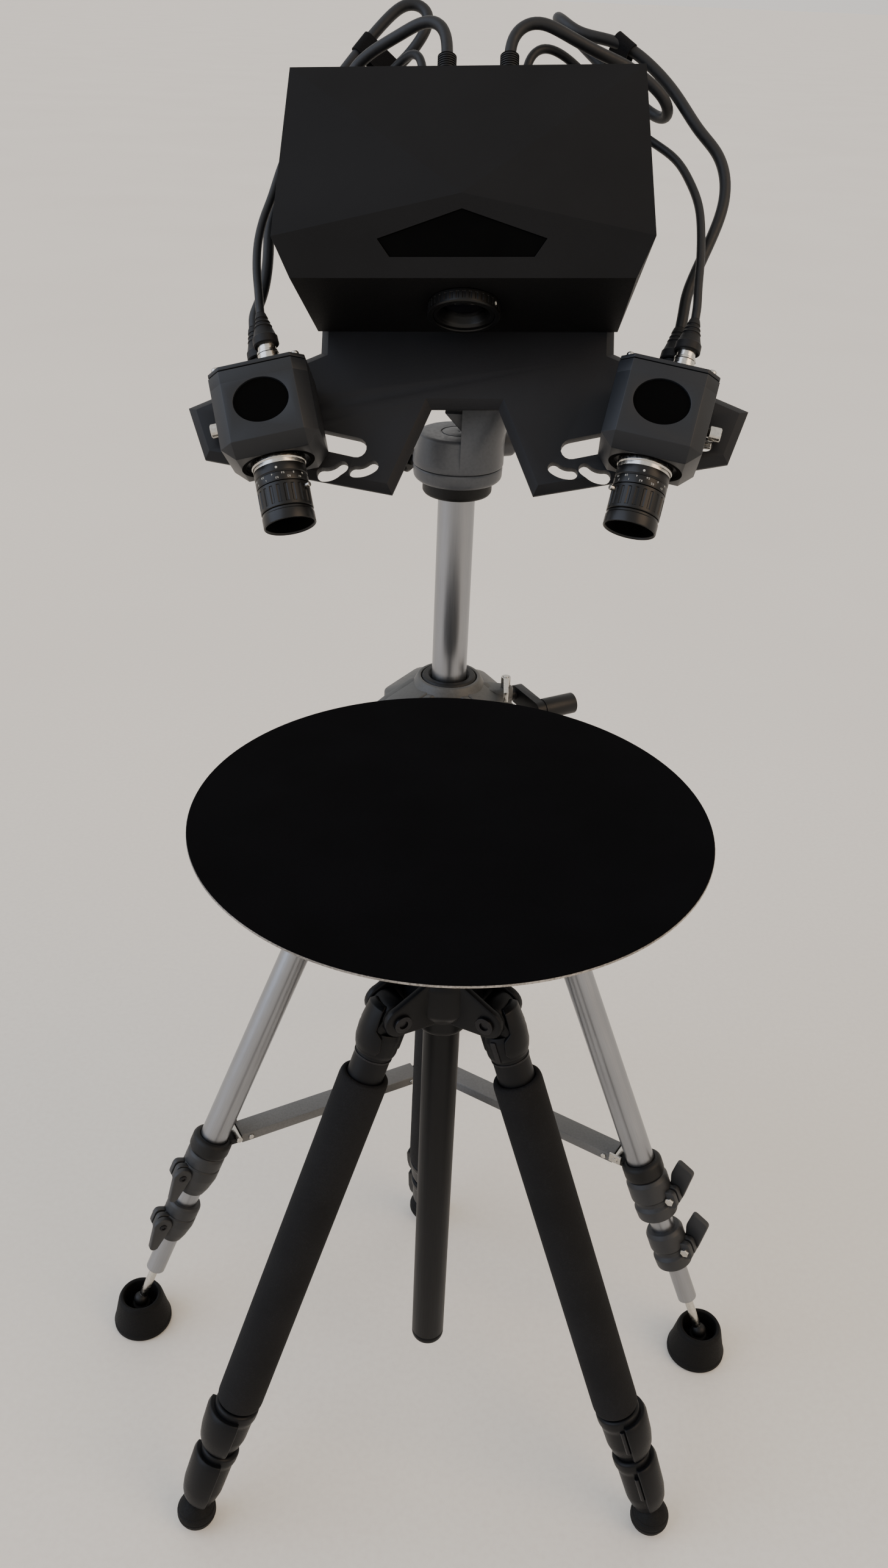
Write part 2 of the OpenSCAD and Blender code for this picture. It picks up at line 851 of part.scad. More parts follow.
// Plug with a turned base, a neck narrowing away from the camera and a tapering boot, along +Y
module plug(seat, d) {
    translate([seat.x, cam_d / 2 + cover_t, seat.y])
        rotate([-90, 0, 0]) {
            cylinder(d = plug_d, h = plug_base_l);
            translate([0, 0, plug_base_l])
                cylinder(d1 = plug_d, d2 = plug_neck_d, h = plug_neck_l);
            translate([0, 0, plug_base_l + plug_neck_l])
                cylinder(d1 = boot_d, d2 = d + 2 * boot_wall, h = boot_l);
        }
}

module camera_plugs(side) {
    color("#202124")
        in_camera(side) {
            plug(thick_plug, thick_d);
            plug(thin_plug, thin_d);
        }
}

module camera_lens(side) {
    color("#17181a")
        in_lens(side)
            difference() {
                union() {
                    rod(lens_core_d, -cam_wall, lens_l - over);
                    rod(mount_d, fit_gap - lens_seat, mount_l);
                    rod(lens_d, mount_l, ring_from - seat_gap);
                    rod(lens_d, lens_l - hood_l, lens_l);
                }
                rod(lens_cup_d, lens_l - lens_cup_l, lens_l + over);
            }
}

module focus_ring(side) {
    color("#1d1e20")
        in_lens(side) {
            difference() {
                rod(lens_d, ring_from, ring_from + focus_l);
                bore(lens_core_d + 2 * run_gap, ring_from, ring_from + focus_l);
            }
            translate([0, 0, ring_from + focus_l / 2])
                rotate([0, 0, side > 0 ? thumb_at : 180 - thumb_at])
                    rod_x(thumb_d, (lens_core_d + lens_d) / 4, lens_d / 2 + thumb_l);
        }
}

module left_camera_box() { camera_box(-1); }
module left_camera_cover() { camera_cover(-1); }
module left_sensor() { sensor_block(-1); }
module left_plugs() { camera_plugs(-1); }
module left_lens() { camera_lens(-1); }
module left_focus_ring() { focus_ring(-1); }
module right_camera_box() { camera_box(1); }
module right_camera_cover() { camera_cover(1); }
module right_sensor() { sensor_block(1); }
module right_plugs() { camera_plugs(1); }
module right_lens() { camera_lens(1); }
module right_focus_ring() { focus_ring(1); }

module pan_base() {
    color("#3b3d3f")
        translate([0, scan_y, 0])
            difference() {
                union() {
                    rod(pan_ring_d, column_top, pan_base_z);
                    rod(pan_d, pan_base_z, pan_base_z + pan_base_h);
                    rod(pan_stud_d, pan_base_z, pan_base_z + pan_base_h + pan_stud_h);
                }
                translate([0, 0, pan_base_z + pan_base_h / 2])
                    rotate([0, 0, pan_knob_at])
                        rod_x(pan_knob_stem_d + 2 * run_gap, pan_d / 2 - pan_knob_stem_l, pan_d);
            }
}

module pan_knob() {
    color("#1c1c1e")
        translate([0, scan_y, pan_base_z + pan_base_h / 2])
            rotate([0, 0, pan_knob_at]) {
                rod_x(pan_knob_stem_d, pan_d / 2 - pan_knob_stem_l + seat_gap,
                    pan_d / 2 + pan_knob_out);
                rod_x(pan_knob_d, pan_d / 2 + pan_knob_out, pan_d / 2 + pan_knob_out + pan_knob_h);
            }
}

module tilt_arm() {
    color("#55585a")
        translate([0, scan_y, 0])
            difference() {
                union() {
                    rod(pan_d, pan_turn_z, pan_turn_z + pan_turn_h);
                    translate([arm_x, -arm_d / 2, pan_turn_z + pan_turn_h])
                        cube([arm_w, arm_d, arm_top_gap]);
                    translate([0, 0, tilt_axis_h])
                        rod_x(2 * arm_end_r, arm_x, arm_x + arm_w);
                }
                rod(pan_stud_d + 2 * run_gap, pan_turn_z - over, pan_turn_z + pan_stud_h);
                translate([0, 0, tilt_axis_h])
                    rod_x(tilt_shaft_d + 2 * run_gap, arm_x - over, arm_x + arm_w + over);
            }
}

module tilt_plate() {
    platform_top = plate_rise - plate_t;
    color("#4b4e50") {
        in_head() {
            rod_x(2 * tilt_boss_r, -tilt_boss_l, arm_x - seat_gap);
            rod_x(tilt_shaft_d, -tilt_boss_l, arm_x + arm_w + tilt_knob_h);
            translate([-tilt_boss_l, -tilt_web_d / 2, 0])
                cube([tilt_boss_l + arm_x - seat_gap, tilt_web_d, platform_top - platform_t + over]);
        }
        on_plate()
            block([2 * tilt_boss_l, platform_l, platform_t], -plate_t - platform_t);
    }
}

module tilt_knob() {
    from = arm_x + arm_w + seat_gap;
    color("#3a3c3e")
        translate([0, scan_y, tilt_axis_h])
            difference() {
                union() {
                    rod_x(knob_core_d, from, from + tilt_knob_h);
                    for (i = [0:knob_lobes - 1])
                        rotate([i * 360 / knob_lobes, 0, 0])
                            translate([0, (tilt_knob_d - knob_lobe_d) / 2, 0])
                                rod_x(knob_lobe_d, from, from + tilt_knob_h);
                }
                rod_x(tilt_shaft_d + 2 * run_gap, from - over, from + tilt_knob_h + over);
            }
}

module centre_column() {
    color("#c3c5c8")
        translate([0, scan_y, 0])
            difference() {
                rod(column_d, column_top - column_l, column_top);
                rod(column_bore_d, column_top - column_l + column_floor, column_top + over);
            }
}

// Pair of ears on a crown, reaching out to a leg's pivot
module ear_pair(reach, gap, from) {
    for (side = [-1, 1])
        translate([0, side * (gap + ear_t) / 2, 0])
            difference() {
                union() {
                    translate([from, -ear_t / 2, -ear_r])
                        cube([reach - from, ear_t, 2 * ear_r]);
                    translate([reach, 0, 0])
                        rod_y(2 * ear_r, -ear_t / 2, ear_t / 2);
                }
                translate([reach, 0, 0])
                    rod_y(trunnion_d + 2 * run_gap, -ear_t, ear_t);
            }
}

// Knuckle at the top of a leg with its two trunnions
module knuckle(width, length) {
    rod_y(2 * knuckle_r, -width / 2, width / 2);
    rod_y(trunnion_d, -width / 2 - ear_t, width / 2 + ear_t);
    translate([-knuckle_neck / 2, -width / 2, -length])
        cube([knuckle_neck, width, length]);
}

// Lug on the crown that carries the lock lever's pin
module lock_lug() {
    top = crown_pivot_h + crown_up + collar_h - lock_lever.z - seat_gap;
    rotate([0, 0, lock_at]) {
        translate([crown_d / 2 - lock_root, -lock_pin_d, top - lock_lug])
            cube([lock_r - crown_d / 2 + lock_root, 2 * lock_pin_d, lock_lug]);
        translate([lock_r, 0, 0]) {
            rod(2 * lock_pin_d, top - lock_lug, top);
            rod(lock_pin_d, top, top + seat_gap + lock_lever.z);
        }
    }
}

module crown() {
    low = crown_pivot_h - crown_down;
    top = crown_pivot_h + crown_up;
    color("#5b5e60")
        translate([0, scan_y, 0])
            difference() {
                union() {
                    rod(crown_d, low, top);
                    translate([0, 0, top])
                        cylinder(d1 = crown_d, d2 = rim_d, h = rim_h);
                    for (a = leg_angles)
                        rotate([0, 0, a])
                            translate([0, 0, crown_pivot_h])
                                ear_pair(crown_pivot_r, leg_tube_d + 2 * seat_gap,
                                    crown_d / 2 - ear_root);
                    lock_lug();
                }
                bore(column_d + 2 * run_gap, low, top);
                rod(collar_d + 2 * fit_gap, top, top + collar_h);
                translate([0, 0, crown_pivot_h + crank_rise])
                    rotate([0, 0, crank_at])
                        rod_x(crank_shaft_d + 2 * run_gap, crown_d / 2 - crank_in, crown_d);
            }
}

module crown_collar() {
    z0 = crown_pivot_h + crown_up;
    color("#2a2b2d")
        translate([0, scan_y, 0])
            difference() {
                rod(collar_d, z0, z0 + collar_h);
                bore(column_d + 2 * fit_gap, z0, z0 + collar_h);
            }
}

module column_lock() {
    z0 = crown_pivot_h + crown_up + collar_h - lock_lever.z;
    color("#d0d2d4")
        translate([0, scan_y, 0])
            rotate([0, 0, lock_at])
                translate([lock_r, 0, 0])
                    difference() {
                        union() {
                            rod(lock_lever.x, z0, z0 + lock_lever.z);
                            translate([-lock_lever.x / 4, -lock_lever.y, z0])
                                cube([lock_lever.x / 2, lock_lever.y, lock_lever.z]);
                        }
                        bore(lock_pin_d + 2 * run_gap, z0, z0 + lock_lever.z);
                    }
}

module crank() {
    out = crown_d / 2 + crank_shaft_out;
    color("#1b1b1d")
        translate([0, scan_y, crown_pivot_h + crank_rise])
            rotate([0, 0, crank_at]) {
                rod_x(crank_shaft_d, crown_d / 2 - crank_in + seat_gap, out);
                rod_x(crank_arm.z, out - crank_arm.x, out);
                translate([out - crank_arm.x, -crank_arm.y, -crank_arm.z / 2])
                    cube(crank_arm);
                translate([0, -crank_arm.y, 0]) {
                    rod_x(crank_arm.z, out - crank_arm.x, out);
                    rod_x(crank_knob_d, out, out + crank_knob_l);
                }
            }
}

module leg_tubes() {
    color("#c6c8ca")
        for (a = leg_angles)
            in_scan_leg(a)
                difference() {
                    union() {
                        knuckle(leg_tube_d, knuckle_down);
                        rod(leg_tube_d, -tube_end, -leg_start);
                    }
                    rod(leg_mid_d + 2 * fit_gap, -tube_end - over, -mid_in + mid_play);
                }
}

// Wing of a clamp screw, standing out of a clamp of the given diameter
module wing(d) {
    rod_x(wing_boss_d, d / 2 - wing_root, d / 2 + wing_root);
    translate([d / 2 - wing_root, -wing_t / 2, -wing_r])
        cube([wing_out - wing_r + wing_root, wing_t, 2 * wing_r]);
    translate([d / 2 + wing_out - wing_r, 0, 0])
        rod_y(2 * wing_r, -wing_t / 2, wing_t / 2);
}

module leg_collars() {
    color("#1d1e20")
        for (a = leg_angles)
            difference() {
                union() {
                    in_scan_leg(a)
                        rod(leg_tube_d + 2 * leg_collar_wall, -clamp_from, -collar_at);
                    translate([0, scan_y, 0])
                        rotate([0, 0, a])
                            brace_tongue(brace_to - tongue_l, collar_r);
                }
                in_scan_leg(a)
                    bore(leg_tube_d + 2 * fit_gap, -clamp_from - leg_tube_d, -collar_at + leg_tube_d);
            }
}

// Tongue that enters an open end of a brace arm, between two radii
module brace_tongue(r0, r1) {
    width = brace_w - 2 * brace_wall - 2 * seat_gap;
    height = brace_h - brace_wall - seat_gap;
    translate([r0, -width / 2, brace_z])
        cube([r1 - r0, width, height]);
}

module leg_braces() {
    color("#8b8d8f")
        for (a = leg_angles)
            translate([0, scan_y, 0])
                rotate([0, 0, a])
                    difference() {
                        translate([brace_from, -brace_w / 2, brace_z])
                            cube([brace_to - brace_from, brace_w, brace_h]);
                        translate([brace_from - over, -brace_w / 2 + brace_wall, brace_z - over])
                            cube([brace_to - brace_from + 2 * over, brace_w - 2 * brace_wall,
                                brace_h - brace_wall + over]);
                    }
}

module brace_hub() {
    color("#77797b")
        translate([0, scan_y, 0]) {
            rod(hub_d, brace_z - (hub_h - brace_h) / 2, brace_z + (hub_h + brace_h) / 2);
            for (a = leg_angles)
                rotate([0, 0, a])
                    brace_tongue(0, hub_tongue_r);
        }
}

module leg_clamps() {
    color("#6b6e70")
        for (a = leg_angles)
            in_scan_leg(a)
                difference() {
                    union() {
                        rod(clamp_d, -clamp_to, -clamp_from);
                        translate([0, 0, -(clamp_from + clamp_to) / 2])
                            wing(clamp_d);
                    }
                    bore(leg_mid_d + 2 * fit_gap, -clamp_to, -clamp_from);
                    rod(leg_tube_d + 2 * fit_gap, -tube_end - fit_gap, -clamp_from + over);
                }
}

module leg_mid(angle) {
    color("#b9bbbd")
        in_scan_leg(angle)
            difference() {
                union() {
                    rod(leg_mid_d, -mid_to, -mid_in);
                    rod(mid_clamp_d, -mid_to, -mid_from);
                    translate([0, 0, -(mid_from + mid_to) / 2])
                        wing(mid_clamp_d);
                }
                rod(leg_low_d + 2 * fit_gap, -mid_to - over, -mid_in + over);
            }
}

module leg_foot(angle) {
    color("#2a2b2c") {
        in_scan_leg(angle) {
            rod(leg_low_d, -low_to, -mid_in - low_in);
            rod(rod_d, -scan_leg_l, -low_to);
            translate([0, 0, -scan_leg_l])
                sphere(d = foot_ball_d);
        }
        translate([0, scan_y, 0])
            rotate([0, 0, angle])
                translate([scan_foot_r, 0, 0])
                    difference() {
                        union() {
                            difference() {
                                cylinder(d1 = bell_d, d2 = bell_top_d, h = bell_h);
                                rod(bell_hollow_d, bell_floor, bell_h + over);
                            }
                            rod(bell_boss_d, 0, foot_joint_h - bell_boss_drop);
                        }
                        translate([0, 0, foot_joint_h])
                            sphere(d = foot_ball_d + 2 * run_gap);
                    }
    }
}

module leg_mid_a() { leg_mid(leg_angles[0]); }
module leg_mid_b() { leg_mid(leg_angles[1]); }
module leg_mid_c() { leg_mid(leg_angles[2]); }
module leg_foot_a() { leg_foot(leg_angles[0]); }
module leg_foot_b() { leg_foot(leg_angles[1]); }
module leg_foot_c() { leg_foot(leg_angles[2]); }

module turntable_disc() {
    color("#0c0c0e")
        translate([table_x, table_y, 0]) {
            rod(disc_d, table_h - disc_t, table_h);
            rod(disc_hub_d, table_h - disc_t - hub_gap, table_h - disc_t);
            rod(spindle_d, table_h - disc_t - hub_gap - spindle_l, table_h - disc_t);
        }
}

module turntable_drive() {
    z1 = drive_z + drive_h;
    color("#151517")
        translate([table_x, table_y, 0]) {
            difference() {
                rod(drive_d, drive_z, z1);
                difference() {
                    rod(drive_d - 2 * drive_wall, drive_z - over, z1 - drive_top);
                    rod(bearing_d, z1 - spindle_l - spindle_play - bearing_floor, z1);
                }
                rod(spindle_d + 2 * run_gap, z1 - spindle_l - spindle_play, z1 + over);
            }
            translate([motor_x, 0, 0])
                rod(motor_d, z1 - drive_top - fit_gap - motor_h, z1 - drive_top - fit_gap);
        }
}

module table_column() {
    color("#1a1a1c")
        translate([table_x, table_y, 0]) {
            rod(drive_d, drive_z - flange_t, drive_z);
            rod(post_d, post_end_h + post_ease, drive_z - flange_t);
            translate([0, 0, post_end_h])
                cylinder(d1 = post_d - 2 * post_ease, d2 = post_d, h = post_ease);
        }
}

module table_shoulder() {
    color("#1d1d20")
        translate([table_x, table_y, 0])
            difference() {
                union() {
                    rod(shoulder_d, table_pivot_h - shoulder_down, table_pivot_h + shoulder_up);
                    for (a = leg_angles)
                        rotate([0, 0, a + table_turn])
                            translate([0, 0, table_pivot_h])
                                ear_pair(table_pivot_r, table_knuckle_w + 2 * seat_gap,
                                    shoulder_d / 2 - ear_root);
                }
                bore(post_d + 2 * run_gap, table_pivot_h - shoulder_down, table_pivot_h + shoulder_up);
            }
}

module table_collar() {
    z0 = table_pivot_h + shoulder_up + seat_gap;
    color("#242427")
        translate([table_x, table_y, 0])
            difference() {
                union() {
                    rod(table_collar_d, z0, z0 + table_collar_h);
                    translate([table_collar_d / 2 - tab_root, -collar_tab.y / 2, z0])
                        cube([collar_tab.x + tab_root, collar_tab.y, table_collar_h]);
                }
                bore(post_d + 2 * run_gap, z0, z0 + table_collar_h);
            }
}

// Collar of a leg lock with its lever on the outer side
module leg_lock(d, from, l) {
    rod(d, -from - l, -from);
    translate([d / 2 - lever.x / 2, -lever.y / 2, -from - l + lever_in])
        cube([lever.x, lever.y, l - 2 * lever_in]);
}

module table_leg(angle) {
    tube_to = lock_from + lock_step;
    color("#202023")
        in_table_leg(angle)
            difference() {
                union() {
                    knuckle(table_knuckle_w, table_knuckle_down);
                    rod(table_tube_d, -tube_to, -table_tube_from);
                    leg_lock(table_lock_d, lock_from, table_lock_l);
                    translate([knuckle_r - angle_tab_in, -angle_tab.y / 2, angle_tab_up - angle_tab.z])
                        cube([angle_tab.x, angle_tab.y, angle_tab.z]);
                }
                rod(table_mid_d + 2 * fit_gap, -lock_from - table_lock_l - over,
                    -table_mid_in + table_mid_play);
            }
}

module table_grip(angle) {
    color("#171719")
        in_table_leg(angle)
            difference() {
                rod(grip_d, -grip_to, -grip_from);
                bore(table_tube_d + 2 * fit_gap, -grip_to, -grip_from);
            }
}

module table_foot(angle) {
    lock2 = lock_from + table_lock_l + low_lock_gap;
    mid_end = lock2 + low_lock_step;
    color("#1b1b1e")
        in_table_leg(angle) {
            difference() {
                union() {
                    rod(table_mid_d, -mid_end, -table_mid_in);
                    leg_lock(low_lock_d, lock2, low_lock_l);
                }
                rod(table_low_d + 2 * fit_gap, -lock2 - low_lock_l - over, -table_mid_in + over);
            }
            rod(table_low_d, -table_leg_l, -table_mid_in - table_low_in);
            translate([0, 0, -table_leg_l])
                sphere(d = ball_d);
        }
}

module table_leg_a() { table_leg(leg_angles[0]); }
module table_leg_b() { table_leg(leg_angles[1]); }
module table_leg_c() { table_leg(leg_angles[2]); }
module table_grip_a() { table_grip(leg_angles[0]); }
module table_grip_b() { table_grip(leg_angles[1]); }
module table_grip_c() { table_grip(leg_angles[2]); }
module table_foot_a() { table_foot(leg_angles[0]); }
module table_foot_b() { table_foot(leg_angles[1]); }
module table_foot_c() { table_foot(leg_angles[2]); }

bracket_plate();
projector_cover();
projector_base();
rear_panel();
light_engine();
projector_lens();
projector_focus_ring();
front_window();
lead_glands();
left_thick_lead();
left_thin_lead();
right_thick_lead();
right_thin_lead();
left_camera_box();
left_camera_cover();
left_sensor();
left_plugs();
left_lens();
left_focus_ring();
right_camera_box();
right_camera_cover();
right_sensor();
right_plugs();
right_lens();
right_focus_ring();
pan_base();
tilt_arm();
tilt_plate();
tilt_knob();
pan_knob();
centre_column();
crown();
crown_collar();
crank();
column_lock();
leg_tubes();
leg_collars();
leg_clamps();
leg_braces();
brace_hub();
leg_mid_a();
leg_mid_b();
leg_mid_c();
leg_foot_a();
leg_foot_b();
leg_foot_c();
turntable_disc();
turntable_drive();
table_column();
table_shoulder();
table_collar();
table_leg_a();
table_leg_b();
table_leg_c();
table_grip_a();
table_grip_b();
table_grip_c();
table_foot_a();
table_foot_b();
table_foot_c();
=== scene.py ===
"""Looks of a structured-light scanner on a braced tripod, with its turntable on a second tripod."""

import json
import logging
import math
from dataclasses import dataclass, field
from enum import Enum
from typing import Sequence

import bmesh
import bpy
from mathutils import Matrix, Vector


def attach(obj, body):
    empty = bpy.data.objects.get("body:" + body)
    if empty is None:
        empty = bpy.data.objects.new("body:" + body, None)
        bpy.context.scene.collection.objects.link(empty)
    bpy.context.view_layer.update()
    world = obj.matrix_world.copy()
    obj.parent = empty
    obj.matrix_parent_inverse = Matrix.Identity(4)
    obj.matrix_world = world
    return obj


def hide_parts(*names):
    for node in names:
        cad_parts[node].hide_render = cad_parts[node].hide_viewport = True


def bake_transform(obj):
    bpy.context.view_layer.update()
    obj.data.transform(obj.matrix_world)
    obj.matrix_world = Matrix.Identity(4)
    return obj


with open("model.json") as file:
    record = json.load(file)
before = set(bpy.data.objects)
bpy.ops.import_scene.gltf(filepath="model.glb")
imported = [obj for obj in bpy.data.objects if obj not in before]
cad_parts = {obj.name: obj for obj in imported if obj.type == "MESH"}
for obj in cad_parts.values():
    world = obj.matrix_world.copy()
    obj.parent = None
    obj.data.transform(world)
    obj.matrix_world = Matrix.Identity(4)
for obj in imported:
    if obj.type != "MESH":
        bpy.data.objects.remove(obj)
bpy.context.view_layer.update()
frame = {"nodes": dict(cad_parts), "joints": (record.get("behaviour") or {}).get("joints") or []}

LOG = logging.getLogger("scanner")
MM = 0.001
SHARP = math.radians(28)
SHARP_COVER = math.radians(6)
FLAT = math.radians(0.5)
WELD = 1e-3
FINE_WELD = 1e-4
RIB_STEPS = 8
CORD_STEP = 3.0
CORD_ROUNDS = 14
SIGHT_M = 900.0
UP = Vector((0, 0, 1))
ACROSS = Vector((1, 0, 0))
STAY = Matrix.Identity(4)
UPRIGHT = Matrix(((1, 0, 0, 0), (0, 0, -1, 0), (0, 1, 0, 0), (0, 0, 0, 1)))
JOINTS = {joint["name"]: joint for joint in frame["joints"]}

Point = tuple[float, float]
Point3 = tuple[float, float, float]


class Side(Enum):
    """The two cameras' sides, as seen from the front."""

    LEFT = -1
    RIGHT = 1

    @property
    def label(self) -> str:
        """The side as node names have it."""
        return self.name.lower()


class Grain(Enum):
    """How a surface was made: its texture node and its stretch along X, Y and Z."""

    MOULDED = ("ShaderNodeTexNoise", (1.0, 1.0, 1.0))
    DRAWN = ("ShaderNodeTexNoise", (1.0, 1.0, 0.012))
    CELLS = ("ShaderNodeTexVoronoi", (1.0, 1.0, 1.0))


def linear(code: str) -> tuple[float, float, float, float]:
    """Turn an sRGB colour into linear light.

    Args:
        code: the colour as "#rrggbb".

    Returns:
        Red, green, blue and full alpha.
    """
    parts = [int(code[i:i + 2], 16) / 255 for i in (1, 3, 5)]
    light = [p / 12.92 if p <= 0.04045 else ((p + 0.055) / 1.055) ** 2.4 for p in parts]
    return (light[0], light[1], light[2], 1.0)


def add_node(tree: bpy.types.NodeTree, kind: str, values: dict, links: dict) -> bpy.types.Node:
    """Add a shader node.

    Args:
        tree: the material's node tree.
        kind: the node's Blender type.
        values: values by input socket, or by property of the node.
        links: output sockets by the input socket they feed.

    Returns:
        The node.
    """
    node = tree.nodes.new(kind)
    for key, value in values.items():
        if key in node.inputs:
            node.inputs[key].default_value = value
        else:
            setattr(node, key, value)
    for key, source in links.items():
        tree.links.new(source, node.inputs[key])
    return node


@dataclass(frozen=True)
class Finish:
    """A real material and how its surface was made; lengths in millimetres."""

    name: str
    slot: str
    colour: str
    shade: str
    rough: Point
    grain: Grain
    grain_mm: float
    relief_mm: float
    patch_mm: float = 70.0
    metal: float = 0.0
    shine: float = 0.5

    def material(self) -> bpy.types.Material:
        """Find the node material, or build it."""
        return bpy.data.materials.get(self.name) or self._build()

    def _build(self) -> bpy.types.Material:
        """Build the node material: a grain in the relief and gloss, and slow patches in the colour.

        Returns:
            The material.
        """
        material = bpy.data.materials.new(self.name)
        material.use_nodes = True
        tree = material.node_tree
        shader = tree.nodes["Principled BSDF"]
        shader.inputs["Metallic"].default_value = self.metal
        shader.inputs["Specular IOR Level"].default_value = self.shine
        texture, stretch = self.grain.value
        coords = add_node(tree, "ShaderNodeTexCoord", {}, {}).outputs["Object"]
        placed = add_node(tree, "ShaderNodeMapping", {"Scale": stretch}, {"Vector": coords})
        fine = add_node(tree, texture, {"Scale": 1 / (self.grain_mm * MM)},
                        {"Vector": placed.outputs["Vector"]}).outputs[0]
        broad = add_node(tree, "ShaderNodeTexNoise", {"Scale": 1 / (self.patch_mm * MM), "Detail": 3.0},
                         {"Vector": coords}).outputs[0]
        tone = add_node(tree, "ShaderNodeMath", {"operation": "MULTIPLY"}, {})
        tree.links.new(fine, tone.inputs[0])
        tree.links.new(broad, tone.inputs[1])
        ramp = add_node(tree, "ShaderNodeValToRGB", {}, {"Fac": tone.outputs[0]})
        for stop, place, code in zip(ramp.color_ramp.elements, (0.14, 0.38), (self.shade, self.colour)):
            stop.position = place
            stop.color = linear(code)
        gloss = add_node(tree, "ShaderNodeMapRange",
                         {"From Min": 0.3, "From Max": 0.7, "To Min": self.rough[0], "To Max": self.rough[1]},
                         {"Value": fine})
        relief = add_node(tree, "ShaderNodeBump", {"Strength": 0.6, "Distance": self.relief_mm * MM},
                          {"Height": fine})
        tree.links.new(ramp.outputs["Color"], shader.inputs["Base Color"])
        tree.links.new(gloss.outputs["Result"], shader.inputs["Roughness"])
        tree.links.new(relief.outputs["Normal"], shader.inputs["Normal"])
        return material


# Most of these grains are finer than a pixel (spark erosion, blasting, powder coat, drawing lines, flock), so
# they are drawn several times coarser than they are, as coarse as they need to be to show.

# Spark-eroded ABS: an even, dry charcoal with hardly any sheen
HOUSING = Finish("spark_eroded_abs", "housing_plastic", "#131314", "#0e0e0f", (0.5, 0.66), Grain.MOULDED, 0.7,
                 0.05, shine=0.14)
# Powder-coated plate: the same charcoal, a little bluer and smoother
PLATE = Finish("powder_coated_aluminium_plate", "bracket_black", "#1b1c1f", "#151619", (0.44, 0.58),
               Grain.MOULDED, 0.8, 0.04, shine=0.22)
# Bead-blasted anodised boxes: dark blue-grey that catches light on each chamfer
CAMERA = Finish("bead_blasted_anodised_aluminium", "camera_black", "#191c20", "#14161a", (0.38, 0.5),
                Grain.MOULDED, 0.4, 0.03, shine=0.35)
# Black felt: the gasket under each rear cover and the lining of each lens hood. It is also painted shade: the
# oval low in the hollow on each box's top, so that it reads as a deep hole, and the ring round each lens
# mount, for a wider recess's shade
FELT_AND_PAINTED_SHADE = Finish("pressed_black_felt", "camera_black", "#050505", "#020202", (0.9, 1.0), Grain.MOULDED, 0.5, 0.1,
             shine=0.05)
# Satin anodised lens barrel: black with a narrow soft highlight
LENS = Finish("satin_black_anodised_aluminium", "lens_black", "#090909", "#070707", (0.3, 0.42),
              Grain.MOULDED, 0.3, 0.01, shine=0.32)
# Coated front glass: deep, with a violet cast and a sharp glint
GLASS = Finish("coated_optical_glass", "lens_black", "#07060c", "#040406", (0.05, 0.09), Grain.MOULDED, 8.0,
               0.001, shine=0.3)
# Paint filled into engraved figures: flat white
PAINT = Finish("engraving_paint", "lens_black", "#bdbdb8", "#a8a8a2", (0.6, 0.7), Grain.MOULDED, 0.6, 0.01)
# Smoked acrylic window: black with a faint reflection
WINDOW = Finish("smoked_acrylic_sheet", "window_black", "#040404", "#020202", (0.3, 0.4), Grain.MOULDED, 30.0,
                0.002, shine=0.03)
# Lead jacket: grey PVC with a soft long highlight
JACKET = Finish("extruded_pvc_jacket", "lead_rubber", "#1d1e20", "#151618", (0.42, 0.56), Grain.MOULDED, 1.6,
                0.04, shine=0.3)
# Strain reliefs and boots: soft black
BOOT = Finish("moulded_soft_pvc", "plug_black", "#0e0e0f", "#09090a", (0.5, 0.65), Grain.MOULDED, 0.8, 0.05,
              shine=0.28)
# Tape round the folded leads: dull black loops
TAPE = Finish("woven_hook_and_loop_tape", "plug_black", "#0d0d0e", "#080809", (0.8, 0.95), Grain.CELLS, 0.9,
              0.2, shine=0.15)
# Nickel-plated connectors and screws: bright and slightly warm
NICKEL = Finish("nickel_plated_brass", "chrome", "#c9c6bf", "#b3b0aa", (0.16, 0.28), Grain.MOULDED, 2.0, 0.01,
                metal=1.0)
# Circuit boards inside: green solder mask, smooth and slightly glossy
BOARD = Finish("solder_mask_board", "board", "#1f4a33", "#173a28", (0.35, 0.5), Grain.MOULDED, 3.0, 0.02)
# Light engine inside: raw grey die casting, dull with a metal cast
ENGINE = Finish("raw_zinc_die_casting", "engine", "#6f7174", "#5c5e61", (0.45, 0.6), Grain.MOULDED, 1.5, 0.06,
                metal=0.6)
# Painted head casting: mid grey, satin, with orange peel
HEAD = Finish("sprayed_grey_enamel_casting", "head_grey", "#525458", "#4a4c50", (0.34, 0.46), Grain.MOULDED,
              2.4, 0.05, shine=0.4)
# Knobs: hard black phenolic with a small clear highlight
KNOB = Finish("moulded_black_phenolic", "knob_black", "#0e0e0f", "#09090a", (0.35, 0.5), Grain.MOULDED, 0.9,
              0.04, shine=0.3)
# Drawn and anodised tube: silver, with fine lines along it that stretch the highlights
TUBE = Finish("drawn_satin_anodised_tube", "column_silver", "#989a9e", "#8e9094", (0.3, 0.36), Grain.DRAWN,
              0.35, 0.002, metal=1.0)
# Crown casting: grey paint over a cast skin
CROWN = Finish("sprayed_light_grey_casting", "crown_grey", "#4e4e4c", "#424240", (0.42, 0.55), Grain.MOULDED,
               2.2, 0.06, shine=0.4)
# Glass-filled nylon collars: dull black
COLLAR = Finish("glass_filled_black_nylon", "collar_black", "#0b0b0b", "#080808", (0.45, 0.6), Grain.MOULDED,
                0.8, 0.06, shine=0.3)
# Leg clamps: grey nylon with a faint moulded grain
CLAMP = Finish("moulded_grey_nylon", "clamp_grey", "#2a2b2d", "#232425", (0.42, 0.56), Grain.MOULDED, 0.9,
               0.05, shine=0.4)
